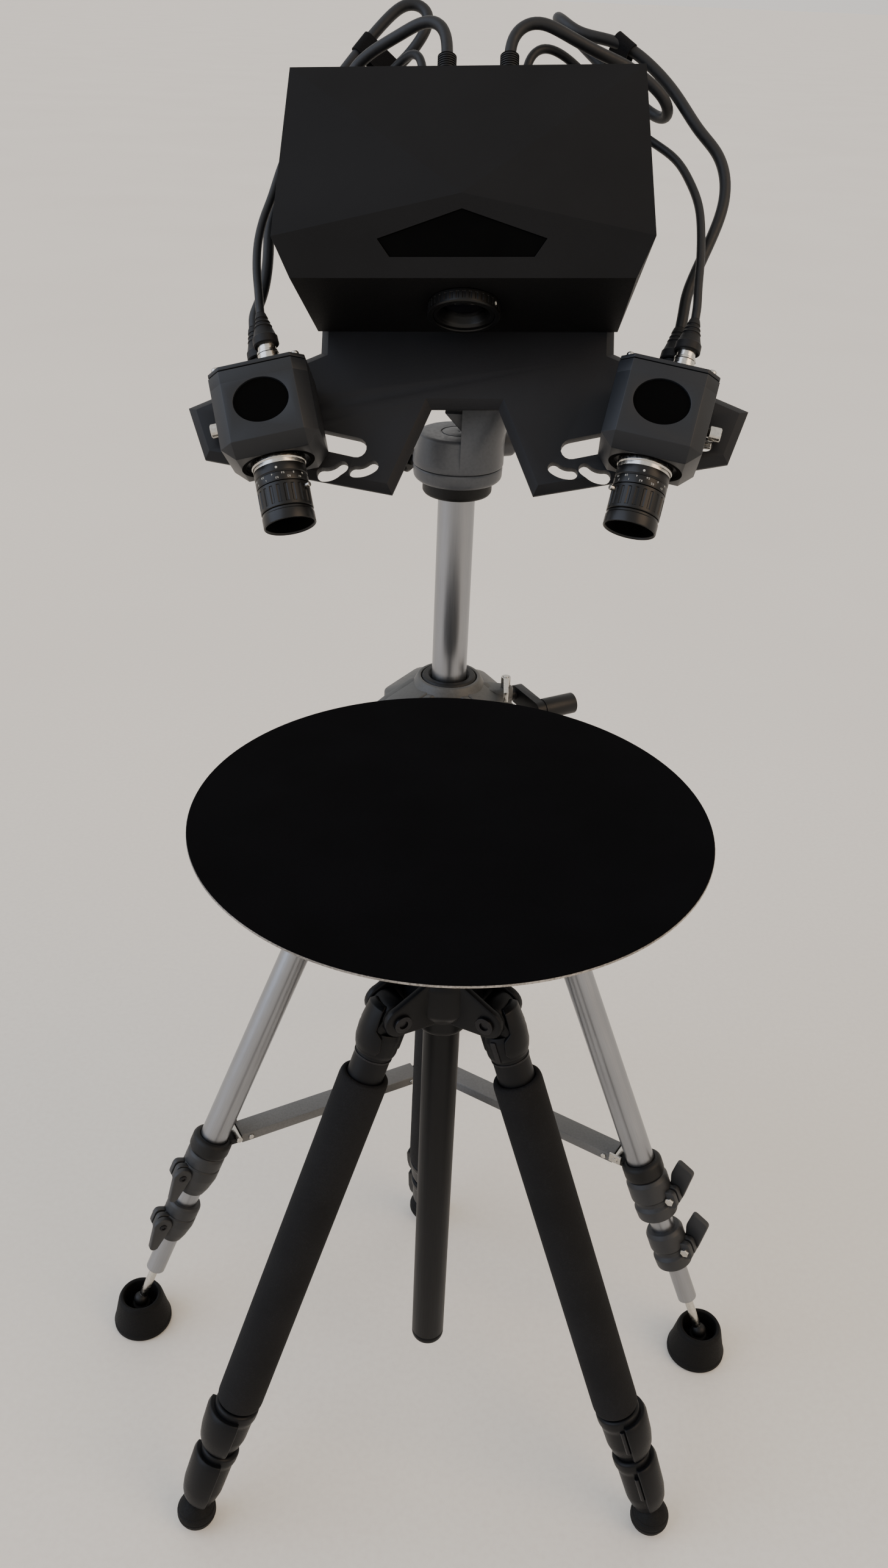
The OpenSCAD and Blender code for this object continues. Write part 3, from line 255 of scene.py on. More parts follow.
# Brace arms: pressed sheet, painted mid grey
BRACE = Finish("pressed_sheet_grey_paint", "brace_grey", "#636362", "#565655", (0.4, 0.52), Grain.MOULDED,
               1.8, 0.03, shine=0.4)
# Bell feet: rubber, matt and slightly dusty
RUBBER = Finish("compression_moulded_rubber", "foot_rubber", "#070707", "#050505", (0.6, 0.78), Grain.MOULDED,
                1.1, 0.08, shine=0.2)
# Disc top: flock paper, the darkest thing there
FLOCK = Finish("black_flock_sheet", "disc_black", "#08080a", "#050506", (0.95, 1.0), Grain.MOULDED, 0.6, 0.06,
               shine=0.05)
# Disc edge: the cut edge of white foamed board, slightly fuzzy where the flock folds over
EDGE = Finish("cut_foamed_pvc_board", "disc_black", "#a39d95", "#65615b", (0.7, 0.85), Grain.MOULDED, 1.4,
              0.15)
# Drive housing: moulded black ABS, even and satin
DRIVE = Finish("moulded_black_abs", "drive_black", "#0d0d0e", "#080809", (0.4, 0.55), Grain.MOULDED, 0.8,
               0.05, shine=0.25)
# Stand tubes: black lacquer, one soft highlight down each
STAND = Finish("black_lacquered_tube", "stand_black", "#0b0c0f", "#08090b", (0.4, 0.52), Grain.DRAWN, 0.5,
               0.006, shine=0.18)
# Stand joints: black glass-filled nylon with some sheen
JOINT = Finish("moulded_black_nylon", "stand_joint", "#0a0b0e", "#07080a", (0.34, 0.48), Grain.MOULDED, 0.9,
               0.05, shine=0.17)
# Foam sleeves: closed cells, dull and very dark
FOAM = Finish("closed_cell_foam", "foam", "#1b1b1c", "#111112", (0.8, 0.94), Grain.CELLS, 1.1, 0.25,
              shine=0.15)
# Bolts of the black stand: blackened steel with a small sharp glint
OXIDE = Finish("black_oxide_steel", "stand_joint", "#2c2c2e", "#202022", (0.28, 0.4), Grain.MOULDED, 1.0,
               0.02, metal=0.8)
# Studio floor: pale warm board
FLOOR = Finish("painted_studio_floor", "crown_grey", "#e4dfd5", "#dfd9cf", (0.6, 0.75), Grain.MOULDED, 6.0,
               0.02, patch_mm=900.0)


def pivot(joint: str) -> Vector:
    """The point a joint turns about, in metres."""
    return Vector(JOINTS[joint]["pos_m"])


def axis(joint: str) -> Vector:
    """The direction of a joint's axis."""
    return Vector(JOINTS[joint]["axis"]).normalized()


def frame_at(origin: Vector, z: Vector, x: Vector) -> Matrix:
    """Build a frame.

    Args:
        origin: its origin in metres.
        z: the direction of its Z axis.
        x: the side that its X axis faces.

    Returns:
        The frame's matrix.
    """
    y = z.cross(x).normalized()
    placed = Matrix((y.cross(z), y, z)).transposed().to_4x4()
    placed.translation = origin
    return placed


def shift(x: float, y: float, z: float) -> Matrix:
    """A move, in millimetres."""
    return Matrix.Translation((x, y, z))


def spin(degrees: float, about: str = "Z") -> Matrix:
    """A turn about an axis, in degrees."""
    return Matrix.Rotation(math.radians(degrees), 4, about)


def in_mm(placed: Matrix) -> Matrix:
    """A frame in metres, for points in millimetres."""
    return Matrix.Scale(1 / MM, 4) @ placed @ Matrix.Scale(MM, 4)


def arc(radius: float, start: float, end: float, steps: int, centre: Point = (0.0, 0.0)) -> list[Point]:
    """Points on an arc.

    Args:
        radius: its radius.
        start: the angle of its first point, in degrees.
        end: the angle of its last point, in degrees.
        steps: how many points it gets.
        centre: its centre.

    Returns:
        The points in order.
    """
    angles = [math.radians(start + (end - start) * k / (steps - 1)) for k in range(steps)]
    return [(centre[0] + radius * math.cos(a), centre[1] + radius * math.sin(a)) for a in angles]


def fan(sweep: float, steps: int, last: bool = False) -> list[float]:
    """Evenly spaced angles from zero, in radians, with or without the sweep's end."""
    return [sweep * k / steps for k in range(steps + last)]


def box(x0: float, x1: float, y0: float, y1: float) -> list[Point]:
    """A rectangle's corners."""
    return [(x0, y0), (x1, y0), (x1, y1), (x0, y1)]


def cut_corners(w: float, h: float, cut: float) -> list[Point]:
    """A rectangle about the origin with its corners cut off."""
    x, y = w / 2, h / 2
    return [(x - cut, -y), (x, cut - y), (x, y - cut), (x - cut, y), (cut - x, y), (-x, y - cut),
            (-x, cut - y), (cut - x, -y)]


def inset(points: Sequence[Point], by: float) -> list[Point]:
    """Draw an outline in by an even width.

    Args:
        points: its corners, counter-clockwise.
        by: the width.

    Returns:
        The corners drawn in.
    """
    result: list[Point] = []
    for k, corner in enumerate(points):
        here = Vector(corner)
        before = (here - Vector(points[k - 1])).normalized()
        after = (Vector(points[(k + 1) % len(points)]) - here).normalized()
        first, last = Vector((-before.y, before.x)), Vector((-after.y, after.x))
        p = here + (first + last) * (by / (1 + first.dot(last)))
        result.append((p.x, p.y))
    return result


def band(line: Sequence[Point], width: float) -> list[Point]:
    """Outline a strip with round ends.

    Args:
        line: its centre line.
        width: its width.

    Returns:
        Its outline, counter-clockwise.
    """
    last, half = len(line) - 1, width / 2
    ways = []
    for k in range(last + 1):
        (x0, y0), (x1, y1) = line[max(k - 1, 0)], line[min(k + 1, last)]
        ways.append(math.degrees(math.atan2(y1 - y0, x1 - x0)))
    right = [arc(half, ways[k] - 90, ways[k] - 90, 2, line[k])[0] for k in range(1, last)]
    left = [arc(half, ways[k] + 90, ways[k] + 90, 2, line[k])[0] for k in range(last - 1, 0, -1)]
    return [*right, *arc(half, ways[-1] - 90, ways[-1] + 90, 9, line[-1]), *left,
            *arc(half, ways[0] + 90, ways[0] + 270, 9, line[0])]


def soften(points: Sequence[Point], reach: float, closed: bool = False, steps: int = 5) -> list[Point]:
    """Round the corners of an outline or profile.

    Args:
        points: its corners in order.
        reach: how far from each corner the rounding starts.
        closed: whether the last corner joins the first.
        steps: points for each rounded corner.

    Returns:
        The rounded points.
    """
    count = len(points)
    result: list[Point] = []
    for k, corner in enumerate(points):
        if not closed and k in (0, count - 1):
            result.append(corner)
            continue
        here = Vector(corner)
        sides = [Vector(points[k - 1]) - here, Vector(points[(k + 1) % count]) - here]
        cut = min(reach, sides[0].length / 2.01, sides[1].length / 2.01)
        first, last = (here + side.normalized() * cut for side in sides)
        for i in range(steps):
            t = i / (steps - 1)
            p = first * (1 - t) ** 2 + here * (2 * t * (1 - t)) + last * t ** 2
            result.append((p.x, p.y))
    return result


def curve_through(points: Sequence[Vector], step: float) -> list[Vector]:
    """Draw a smooth curve through points.

    Args:
        points: the points it passes.
        step: the distance between the samples.

    Returns:
        Samples along the curve.
    """
    ends = [2 * points[0] - points[1], *points, 2 * points[-1] - points[-2]]
    result: list[Vector] = []
    for a, b, c, d in zip(ends, ends[1:], ends[2:], ends[3:]):
        before, here, after = (math.sqrt((q - p).length) for p, q in ((a, b), (b, c), (c, d)))
        leave = (b - a) * (here / before) - (c - a) * (here / (before + here)) + (c - b)
        reach = (c - b) - (d - b) * (here / (here + after)) + (d - c) * (here / after)
        count = max(2, round((c - b).length / step))
        for t in (i / count for i in range(count)):
            result.append(b + leave * t + (3 * (c - b) - 2 * leave - reach) * t ** 2
                          + (2 * (b - c) + leave + reach) * t ** 3)
    return [*result, points[-1]]


def relax(path: Sequence[Vector], rounds: int) -> list[Vector]:
    """Take the kinks out of a path; its two ends stay.

    Args:
        path: close samples.
        rounds: how often each sample moves towards its neighbours.

    Returns:
        The eased samples.
    """
    eased = list(path)
    for _ in range(rounds):
        inner = [(a + 2 * b + c) / 4 for a, b, c in zip(eased, eased[1:], eased[2:])]
        eased = [eased[0], *inner, eased[-1]]
    return eased


class Solid:
    """Closed meshes gathered into one piece, in millimetres in the piece's own frame."""

    def __init__(self, sharp: float = SHARP) -> None:
        """Start with nothing.

        Args:
            sharp: the angle from which an edge is eased and shaded hard.
        """
        self.sharp = sharp
        self.mesh = bmesh.new()
        self.finishes: list[Finish] = []

    def add(self, part: bmesh.types.BMesh, finish: Finish, at: Matrix = STAY, bevel: float = 0.0) -> None:
        """Round a part's sharp edges, put it in place and gather it.

        Args:
            part: the part's mesh, which is freed.
            finish: its material.
            at: its place in the piece's frame.
            bevel: the width of the rounding.
        """
        bmesh.ops.recalc_face_normals(part, faces=part.faces)
        if bevel > 0:
            sharp = [e for e in part.edges if e.is_manifold and e.calc_face_angle() > self.sharp]
            bmesh.ops.bevel(part, geom=sharp, offset=bevel, segments=3, profile=0.5, affect="EDGES",
                            clamp_overlap=True)
        part.transform(at)
        if finish not in self.finishes:
            self.finishes.append(finish)
        for face in part.faces:
            face.material_index = self.finishes.index(finish)
            face.smooth = True
        held = bpy.data.meshes.new("held")
        part.to_mesh(held)
        part.free()
        self.mesh.from_mesh(held)
        bpy.data.meshes.remove(held)

    def loft(self, rings: Sequence[Sequence[Point3]], finish: Finish, at: Matrix = STAY, bevel: float = 0.0,
             cyclic: bool = False) -> None:
        """Skin rings of points.

        Args:
            rings: rings with equal counts of points.
            finish: the material.
            at: the place in the piece's frame.
            bevel: the width of the rounding on sharp edges.
            cyclic: whether the last ring joins the first, with no end faces.
        """
        part = bmesh.new()
        rows = [[part.verts.new(p) for p in ring] for ring in rings]
        for a, b in zip(rows, rows[1:] + rows[:1] if cyclic else rows[1:]):
            for k in range(len(a)):
                n = (k + 1) % len(a)
                part.faces.new((a[k], a[n], b[n], b[k]))
        if not cyclic:
            for row in (rows[0], rows[-1]):
                if (row[0].co - row[1].co).length > WELD:
                    part.faces.new(row)
        bmesh.ops.remove_doubles(part, verts=part.verts, dist=FINE_WELD)
        self.add(part, finish, at, bevel)

    def turn(self, profile: Sequence[Point], finish: Finish, at: Matrix = STAY, sides: int = 48,
             ring: bool = False, ease: float = 0.0, ribs: int = 0, rib_depth: float = 0.0,
             ribbed: Point = (0.0, 0.0)) -> None:
        """Turn a profile about Z.

        Args:
            profile: its points as radius and height.
            finish: the material.
            at: the place in the piece's frame.
            sides: how many sides the turned shape has, where it has no ribs.
            ring: whether the profile closes on itself, for a shape with a bore.
            ease: how far from each corner of the profile its rounding starts.
            ribs: how many ribs run along it.
            rib_depth: how deep the grooves between the ribs are.
            ribbed: the heights between which it is ribbed.
        """
        count = ribs * RIB_STEPS or sides
        rings = []
        for r, z in soften(profile, ease, ring) if ease else profile:
            deep = rib_depth if ribbed[0] < z < ribbed[1] else 0.0
            radii = [r - deep if k % RIB_STEPS > RIB_STEPS // 2 else r for k in range(count)]
            rings.append([(out * math.cos(a), out * math.sin(a), z) for out,
                          a in zip(radii, fan(math.tau, count))])
        self.loft(rings, finish, at, cyclic=ring)

    def rod(self, radius: float, z0: float, z1: float, finish: Finish, at: Matrix = STAY, edge: float = 0.6,
            sides: int = 40) -> None:
        """A round bar along Z with eased ends.

        Args:
            radius: its radius.
            z0: its lower end.
            z1: its upper end.
            finish: the material.
            at: the place in the piece's frame.
            edge: how much its ends are eased.
            sides: how many sides it has.
        """
        self.turn([(0, z0), (radius, z0), (radius, z1), (0, z1)], finish, at, sides, ease=edge)

    def slab(self, outline: Sequence[Point], z0: float, z1: float, finish: Finish, at: Matrix = STAY,
             bevel: float = 0.5) -> None:
        """A flat piece cut to an outline.

        Args:
            outline: its corners in the XY plane.
            z0: its lower face.
            z1: its upper face.
            finish: the material.
            at: the place in the piece's frame.
            bevel: the width of the rounding on sharp edges.
        """
        self.loft([[(x, y, z) for x, y in outline] for z in (z0, z1)], finish, at, bevel)

    def screw(self, radius: float, height: float, finish: Finish, at: Matrix) -> None:
        """A socket screw's head, standing on the XY plane.

        Args:
            radius: the head's radius.
            height: the head's height.
            finish: the material.
            at: the place in the piece's frame.
        """
        key = radius * 0.5
        self.turn([(0, -0.5), (radius, -0.5), *soften([(radius, 0), (radius, height), (key, height)], 0.5),
                   (key, height * 0.4), (0, height * 0.4)], finish, at, 24)

    def dome(self, radius: float, height: float, finish: Finish, at: Matrix) -> None:
        """A domed screw's head, standing on the XY plane.

        Args:
            radius: the head's radius.
            height: the head's height.
            finish: the material.
            at: the place in the piece's frame.
        """
        crest = [(radius * math.cos(a), height * (0.3 + 0.7 * math.sin(a)))
                 for a in fan(math.pi / 2, 7, True)]
        self.turn([(0, -0.3), (radius, -0.3), *crest], finish, at, 24)

    def sweep(self, path: Sequence[Vector], radius: float, finish: Finish, sides: int = 16) -> None:
        """A round lead along a path.

        Args:
            path: close samples of its centreline.
            radius: its radius.
            finish: the material.
            sides: how many sides it has.
        """
        rings = []
        across = UP.cross(path[1] - path[0]).normalized()
        for k, p in enumerate(path):
            along = (path[min(k + 1, len(path) - 1)] - path[max(k - 1, 0)]).normalized()
            across = (across - along * across.dot(along)).normalized()
            side = along.cross(across)
            rings.append([tuple(p + radius * (math.cos(a) * across + math.sin(a) * side))
                          for a in fan(math.tau, sides)])
        self.loft(rings, finish)

    def recast(self, node: str, finish: Finish, bevel: float) -> None:
        """Copy a CAD node with eased edges.

        Args:
            node: the node.
            finish: the material.
            bevel: the width of the rounding on sharp edges.
        """
        part = bmesh.new()
        part.from_mesh(frame["nodes"][node].data)
        part.transform(Matrix.Scale(1 / MM, 4))
        bmesh.ops.remove_doubles(part, verts=part.verts, dist=WELD)
        bmesh.ops.dissolve_limit(part, angle_limit=FLAT, verts=part.verts, edges=part.edges)
        self.add(part, finish, STAY, bevel)

    def carved(self, blank: "Solid", tool: "Solid", finish: Finish, bevel: float) -> None:
        """Gather a solid with another one cut out of it.

        Args:
            blank: the solid, which is freed.
            tool: what is cut out, which is freed.
            finish: the material.
            bevel: the width of the rounding on sharp edges.
        """
        holders = []
        for solid in (blank, tool):
            mesh = bpy.data.meshes.new("carved")
            solid.mesh.to_mesh(mesh)
            solid.mesh.free()
            holders.append(bpy.data.objects.new("carved", mesh))
            bpy.context.scene.collection.objects.link(holders[-1])
        cut = holders[0].modifiers.new("carved", "BOOLEAN")
        cut.operation, cut.solver, cut.object = "DIFFERENCE", "EXACT", holders[1]
        part = bmesh.new()
        part.from_object(holders[0], bpy.context.evaluated_depsgraph_get())
        for holder in holders:
            bpy.data.meshes.remove(holder.data)
        bmesh.ops.remove_doubles(part, verts=part.verts, dist=WELD)
        bmesh.ops.dissolve_limit(part, angle_limit=FLAT, verts=part.verts, edges=part.edges)
        self.add(part, finish, STAY, bevel)

    def figures(self, text: str, size: float, radius: float, angle: float, z: float, finish: Finish) -> None:
        """Raised figures round a barrel about Z.

        Args:
            text: the figures.
            size: their height.
            radius: the barrel's radius.
            angle: the middle's angle, in degrees.
            z: the baseline's height.
            finish: the material.
        """
        font = bpy.data.curves.new("figures", "FONT")
        font.body, font.size, font.align_x, font.extrude = text, size, "CENTER", 0.12
        font.resolution_u = 2
        holder = bpy.data.objects.new("figures", font)
        mesh = bpy.data.meshes.new_from_object(holder)
        part = bmesh.new()
        part.from_mesh(mesh)
        bmesh.ops.remove_doubles(part, verts=part.verts, dist=FINE_WELD)
        for vert in part.verts:
            a, r = math.radians(angle) + vert.co.x / radius, radius + vert.co.z
            vert.co = (r * math.cos(a), r * math.sin(a), z + vert.co.y)
        self.add(part, finish)
        bpy.data.objects.remove(holder)
        bpy.data.curves.remove(font)
        bpy.data.meshes.remove(mesh)

    def build(self, name: str, body: str | None, at: Matrix = STAY, stands_for: Sequence[str] = ()
              ) -> bpy.types.Object:
        """Make the piece.

        Args:
            name: its name.
            body: the CAD body that it rides, or None where it rides none.
            at: its frame, in metres.
            stands_for: the CAD nodes that it is shown in place of.

        Returns:
            The object.
        """
        mesh = bpy.data.meshes.new(name)
        self.mesh.transform(Matrix.Scale(MM, 4))
        self.mesh.to_mesh(mesh)
        self.mesh.free()
        for finish in self.finishes:
            mesh.materials.append(finish.material())
        mesh.set_sharp_from_angle(angle=self.sharp)
        piece = bpy.data.objects.new(name, mesh)
        bpy.context.scene.collection.objects.link(piece)
        piece.matrix_world = at
        if stands_for:
            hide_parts(*stands_for)
        if body:
            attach(piece, body)
        LOG.info("%s: %d faces", name, len(mesh.polygons))
        return piece


@dataclass
class Studio:
    """The camera at the photo's view, the floor and the lights; lengths in metres, angles in radians."""

    photo: tuple[int, int] = (1456, 2571)
    focal_px: float = 2180.8
    sensor: float = 36.0
    eye: Point3 = (0.00648, -0.77402, 1.14206)
    pitch: float = 0.538895
    yaw: float = -0.0161222
    roll: float = 0.0425444
    floor: float = 250.0
    ambient: float = 1.1
    window_side: str = "#f5f6f7"
    lamp_side: str = "#e3dbd0"
    lamps: tuple[tuple[str, Point3, float, float, str], ...] = (
        ("window_left", (-2.4, -0.9, 1.5), 1.5, 60.0, "#cfdfff"),
        ("lamp_right", (2.3, -1.4, 1.9), 1.1, 40.0, "#ffdcb6"))

    def camera(self) -> None:
        """Set the camera where the photo was taken from."""
        ahead = Vector((math.sin(self.yaw) * math.cos(self.pitch), math.cos(self.yaw) * math.cos(self.pitch),
                        -math.sin(self.pitch)))
        placed = frame_at(Vector(), -ahead, Vector((math.cos(self.yaw), -math.sin(self.yaw), 0)))
        data = bpy.data.cameras.new("photo_view")
        data.sensor_width = self.sensor
        data.lens = self.focal_px / max(self.photo) * self.sensor
        data.clip_end = SIGHT_M
        camera = bpy.data.objects.new("photo_view", data)
        bpy.context.scene.collection.objects.link(camera)
        table = pivot("turntable_spin")
        camera.matrix_world = (Matrix.Translation((table.x + self.eye[0], table.y + self.eye[1], self.eye[2]))
                               @ placed @ Matrix.Rotation(self.roll, 4, "Z"))
        bpy.context.scene.camera = camera

    def light(self, name: str, place: Point3, strength: float, breadth: float, colour: str) -> None:
        """Set a broad soft light far off.

        Args:
            name: the light's name.
            place: the way towards it.
            strength: how strong it is.
            breadth: how broad it looks, in degrees.
            colour: its colour.
        """
        data = bpy.data.lights.new(name, "SUN")
        data.energy, data.angle = strength, math.radians(breadth)
        data.color = linear(colour)[:3]
        lamp = bpy.data.objects.new(name, data)
        bpy.context.scene.collection.objects.link(lamp)
        away = Vector(place).normalized()
        lamp.matrix_world = frame_at(Vector(place), away, UP.cross(away))

    def build(self) -> None:
        """Set the floor, the room's light and the soft lights."""
        ground = Solid()
        half = self.floor / MM
        ground.slab(box(-half, half, -half, half), -20, 0, FLOOR, bevel=0)
        ground.build("studio_floor", None)
        world = bpy.data.worlds.new("room")
        world.use_nodes = True
        room = world.node_tree
        way = add_node(room, "ShaderNodeTexCoord", {}, {})
        across = add_node(room, "ShaderNodeSeparateXYZ", {}, {"Vector": way.outputs["Generated"]})
        share = add_node(room, "ShaderNodeMapRange", {"From Min": -1.0, "From Max": 1.0},
                         {"Value": across.outputs["X"]})
        tints = {"Color1": linear(self.window_side), "Color2": linear(self.lamp_side)}
        tint = add_node(room, "ShaderNodeMixRGB", tints, {"Fac": share.outputs["Result"]})
        room.links.new(tint.outputs["Color"], room.nodes["Background"].inputs["Color"])
        room.nodes["Background"].inputs["Strength"].default_value = self.ambient
        bpy.context.scene.world = world
        for lamp in self.lamps:
            self.light(*lamp)


def recast_piece(node: str, name: str, body: str, finish: Finish, bevel: float, sharp: float = SHARP) -> None:
    """Show a CAD node as it is, with its edges eased.

    Args:
        node: the node.
        name: the piece's name.
        body: the CAD body that it rides.
        finish: the material.
        bevel: the width of the rounding on sharp edges.
        sharp: the angle from which an edge is sharp.
    """
    piece = Solid(sharp)
    piece.recast(node, finish, bevel)
    piece.build(name, body, stands_for=(node,))


def floor_under(joint: str) -> Matrix:
    """A frame on the floor, under a joint's pivot."""
    return Matrix.Translation(pivot(joint) * Vector((1, 1, 0)))


def plate_frame() -> Matrix:
    """Find the bracket plate's frame from the cameras' pivots on it.

    Returns:
        The frame: X across, -Y forward, Z out of the plate's top face.
    """
    left, right = (pivot(f"{side.label}_camera_toe") for side in Side)
    placed = frame_at((left + right) / 2, axis("left_camera_toe"), right - left)
    return placed @ Matrix.Translation((0, ScanHead.cameras_ahead * MM, 0))


def camera_frame(side: Side) -> Matrix:
    """Find a camera's frame, standing on the plate and facing -Y along its lens.

    Args:
        side: the camera's side.

    Returns:
        The frame.
    """
    normal = axis(f"{side.label}_camera_toe")
    ahead = axis(f"{side.label}_focus_turn")
    return frame_at(pivot(f"{side.label}_camera_toe") + normal * CameraUnit.seat * MM, normal,
                    normal.cross(ahead))


@dataclass(frozen=True)
class Lead:
    """A lead from a gland on the housing to a plug on a camera; points on the plate's frame."""

    side: Side
    gauge: str
    diameter: float
    plug: Point
    gland: Point3
    route: tuple[Point3, ...]
    run: float = 10.0
    plug_end: float = 75.3
    bend: float = 70.0

    def path(self) -> list[Vector]:
        """Lay the centreline, from the gland to the plug.

        Returns:
            Close samples in millimetres.
        """
        to_plate = plate_frame().inverted() @ camera_frame(self.side)
        ends = [Vector((self.plug[0], self.plug_end + more, self.plug[1])) for more in (0.0, self.run)]
        ends = [(to_plate @ (p * MM)) / MM for p in ends]
        x, y, z = self.gland
        points = [*ends, *(Vector(p) for p in self.route), Vector((x, y + self.run, z)), Vector((x, y, z))]
        return relax(curve_through(points[::-1], CORD_STEP), CORD_ROUNDS)

    def build(self) -> None:
        path = self.path()
        lead = Solid()
        lead.sweep(path, self.diameter / 2, JACKET)
        plate = plate_frame()
        name = f"{self.side.label}_{self.gauge}"
        piece = lead.build(f"{name}_jacket", None, plate, (f"{name}_lead",))
        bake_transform(piece)


THICK_PLUG = (0.0, 20.0)
THIN_PLUG = (8.0, 38.5)
LEADS = (
    Lead(Side.LEFT, "thick", 8.0, THICK_PLUG, (-14.5, 172, 75), (
        (-149, 19, 19), (-145, 31, 18), (-143, 49, 16), (-143, 68, 13), (-144, 85, 11), (-140, 104, 10),
        (-135, 126, 10), (-127, 149, 11), (-116, 170, 13), (-101, 191, 17), (-79, 219, 21), (-56, 245, 23),
        (-47, 251, 23), (-37, 248, 23), (-31, 239, 23), (-34, 229, 23), (-48, 213, 16), (-64, 203, 10),
        (-82, 192, 8), (-88, 183, 12), (-91, 180, 23), (-88, 183, 34), (-82, 192, 38), (-71, 197, 44),
        (-58, 198, 54), (-46, 199, 62), (-35, 201, 69), (-26, 201, 73), (-17, 194, 75))),
    Lead(Side.LEFT, "thin", 6.0, THIN_PLUG, (-31.5, 161, 62), (
        (-142, 23, 38), (-145, 32, 37), (-146, 45, 36), (-147, 60, 33), (-146, 75, 30), (-144, 88, 27),
        (-141, 98, 25), (-131, 136, 23), (-120, 152, 21), (-106, 163, 19), (-91, 169, 20), (-76, 176, 25),
        (-62, 184, 34), (-50, 190, 44), (-41, 190, 54), (-34, 184, 61))),
    Lead(Side.RIGHT, "thick", 8.0, THICK_PLUG, (27.5, 172, 75), (
        (152, 29, 19), (160, 51, 18), (171, 77, 18), (178, 98, 19), (179, 117, 20), (173, 136, 21),
        (161, 149, 23), (137, 184, 27), (106, 208, 34), (72, 216, 37), (62, 228, 34), (58, 237, 24),
        (63, 239, 14), (73, 231, 9), (99, 203, 8), (128, 173, 8), (136, 166, 12), (139, 163, 23),
        (136, 166, 34), (128, 173, 38), (110, 184, 44), (94, 185, 54), (77, 188, 63), (61, 193, 70),
        (47, 198, 74), (35, 194, 75))),
    Lead(Side.RIGHT, "thin", 6.0, THIN_PLUG, (38, 161, 62), (
        (158, 20, 39), (160, 44, 37), (161, 71, 32), (160, 94, 26), (155, 114, 19), (145, 137, 12),
        (125, 156, 6), (108, 165, 14), (92, 174, 29), (76, 183, 43), (61, 189, 54), (48, 189, 61),
        (40, 180, 62))),
)


@dataclass(frozen=True)
class Strap:
    """A tape round two strands of a lead; points on the plate's frame."""

    side: Side
    strands: tuple[Point3, Point3]
    along: Point3
    width: float = 15.0
    hold: float = 4.2
    tape: float = 1.1

    def build(self) -> None:
        """Make the tape."""
        first, last = (Vector(p) for p in self.strands)
        reach = (last - first).length / 2
        rings = []
        inner, outer = self.hold, self.hold + self.tape
        for r, z in ((inner, -1), (outer, -1), (outer, 1), (inner, 1)):
            loop = arc(r, -90, 90, 12, (reach, 0)) + arc(r, 90, 270, 12, (-reach, 0))
            rings.append([(x, y, z * self.width / 2) for x, y in loop])
        strap = Solid()
        strap.loft(rings, TAPE, frame_at((first + last) / 2, Vector(self.along).normalized(), last - first),
                   cyclic=True)
        strap.build(f"{self.side.label}_lead_tape", "head", plate_frame())


STRAPS = (
    Strap(Side.LEFT, ((-79, 219, 21), (-60, 205, 11)), (0.585, 0.811, 0)),
    Strap(Side.RIGHT, ((106, 208, 34), (100, 202, 8)), (-0.734, 0.679, 0)),
)


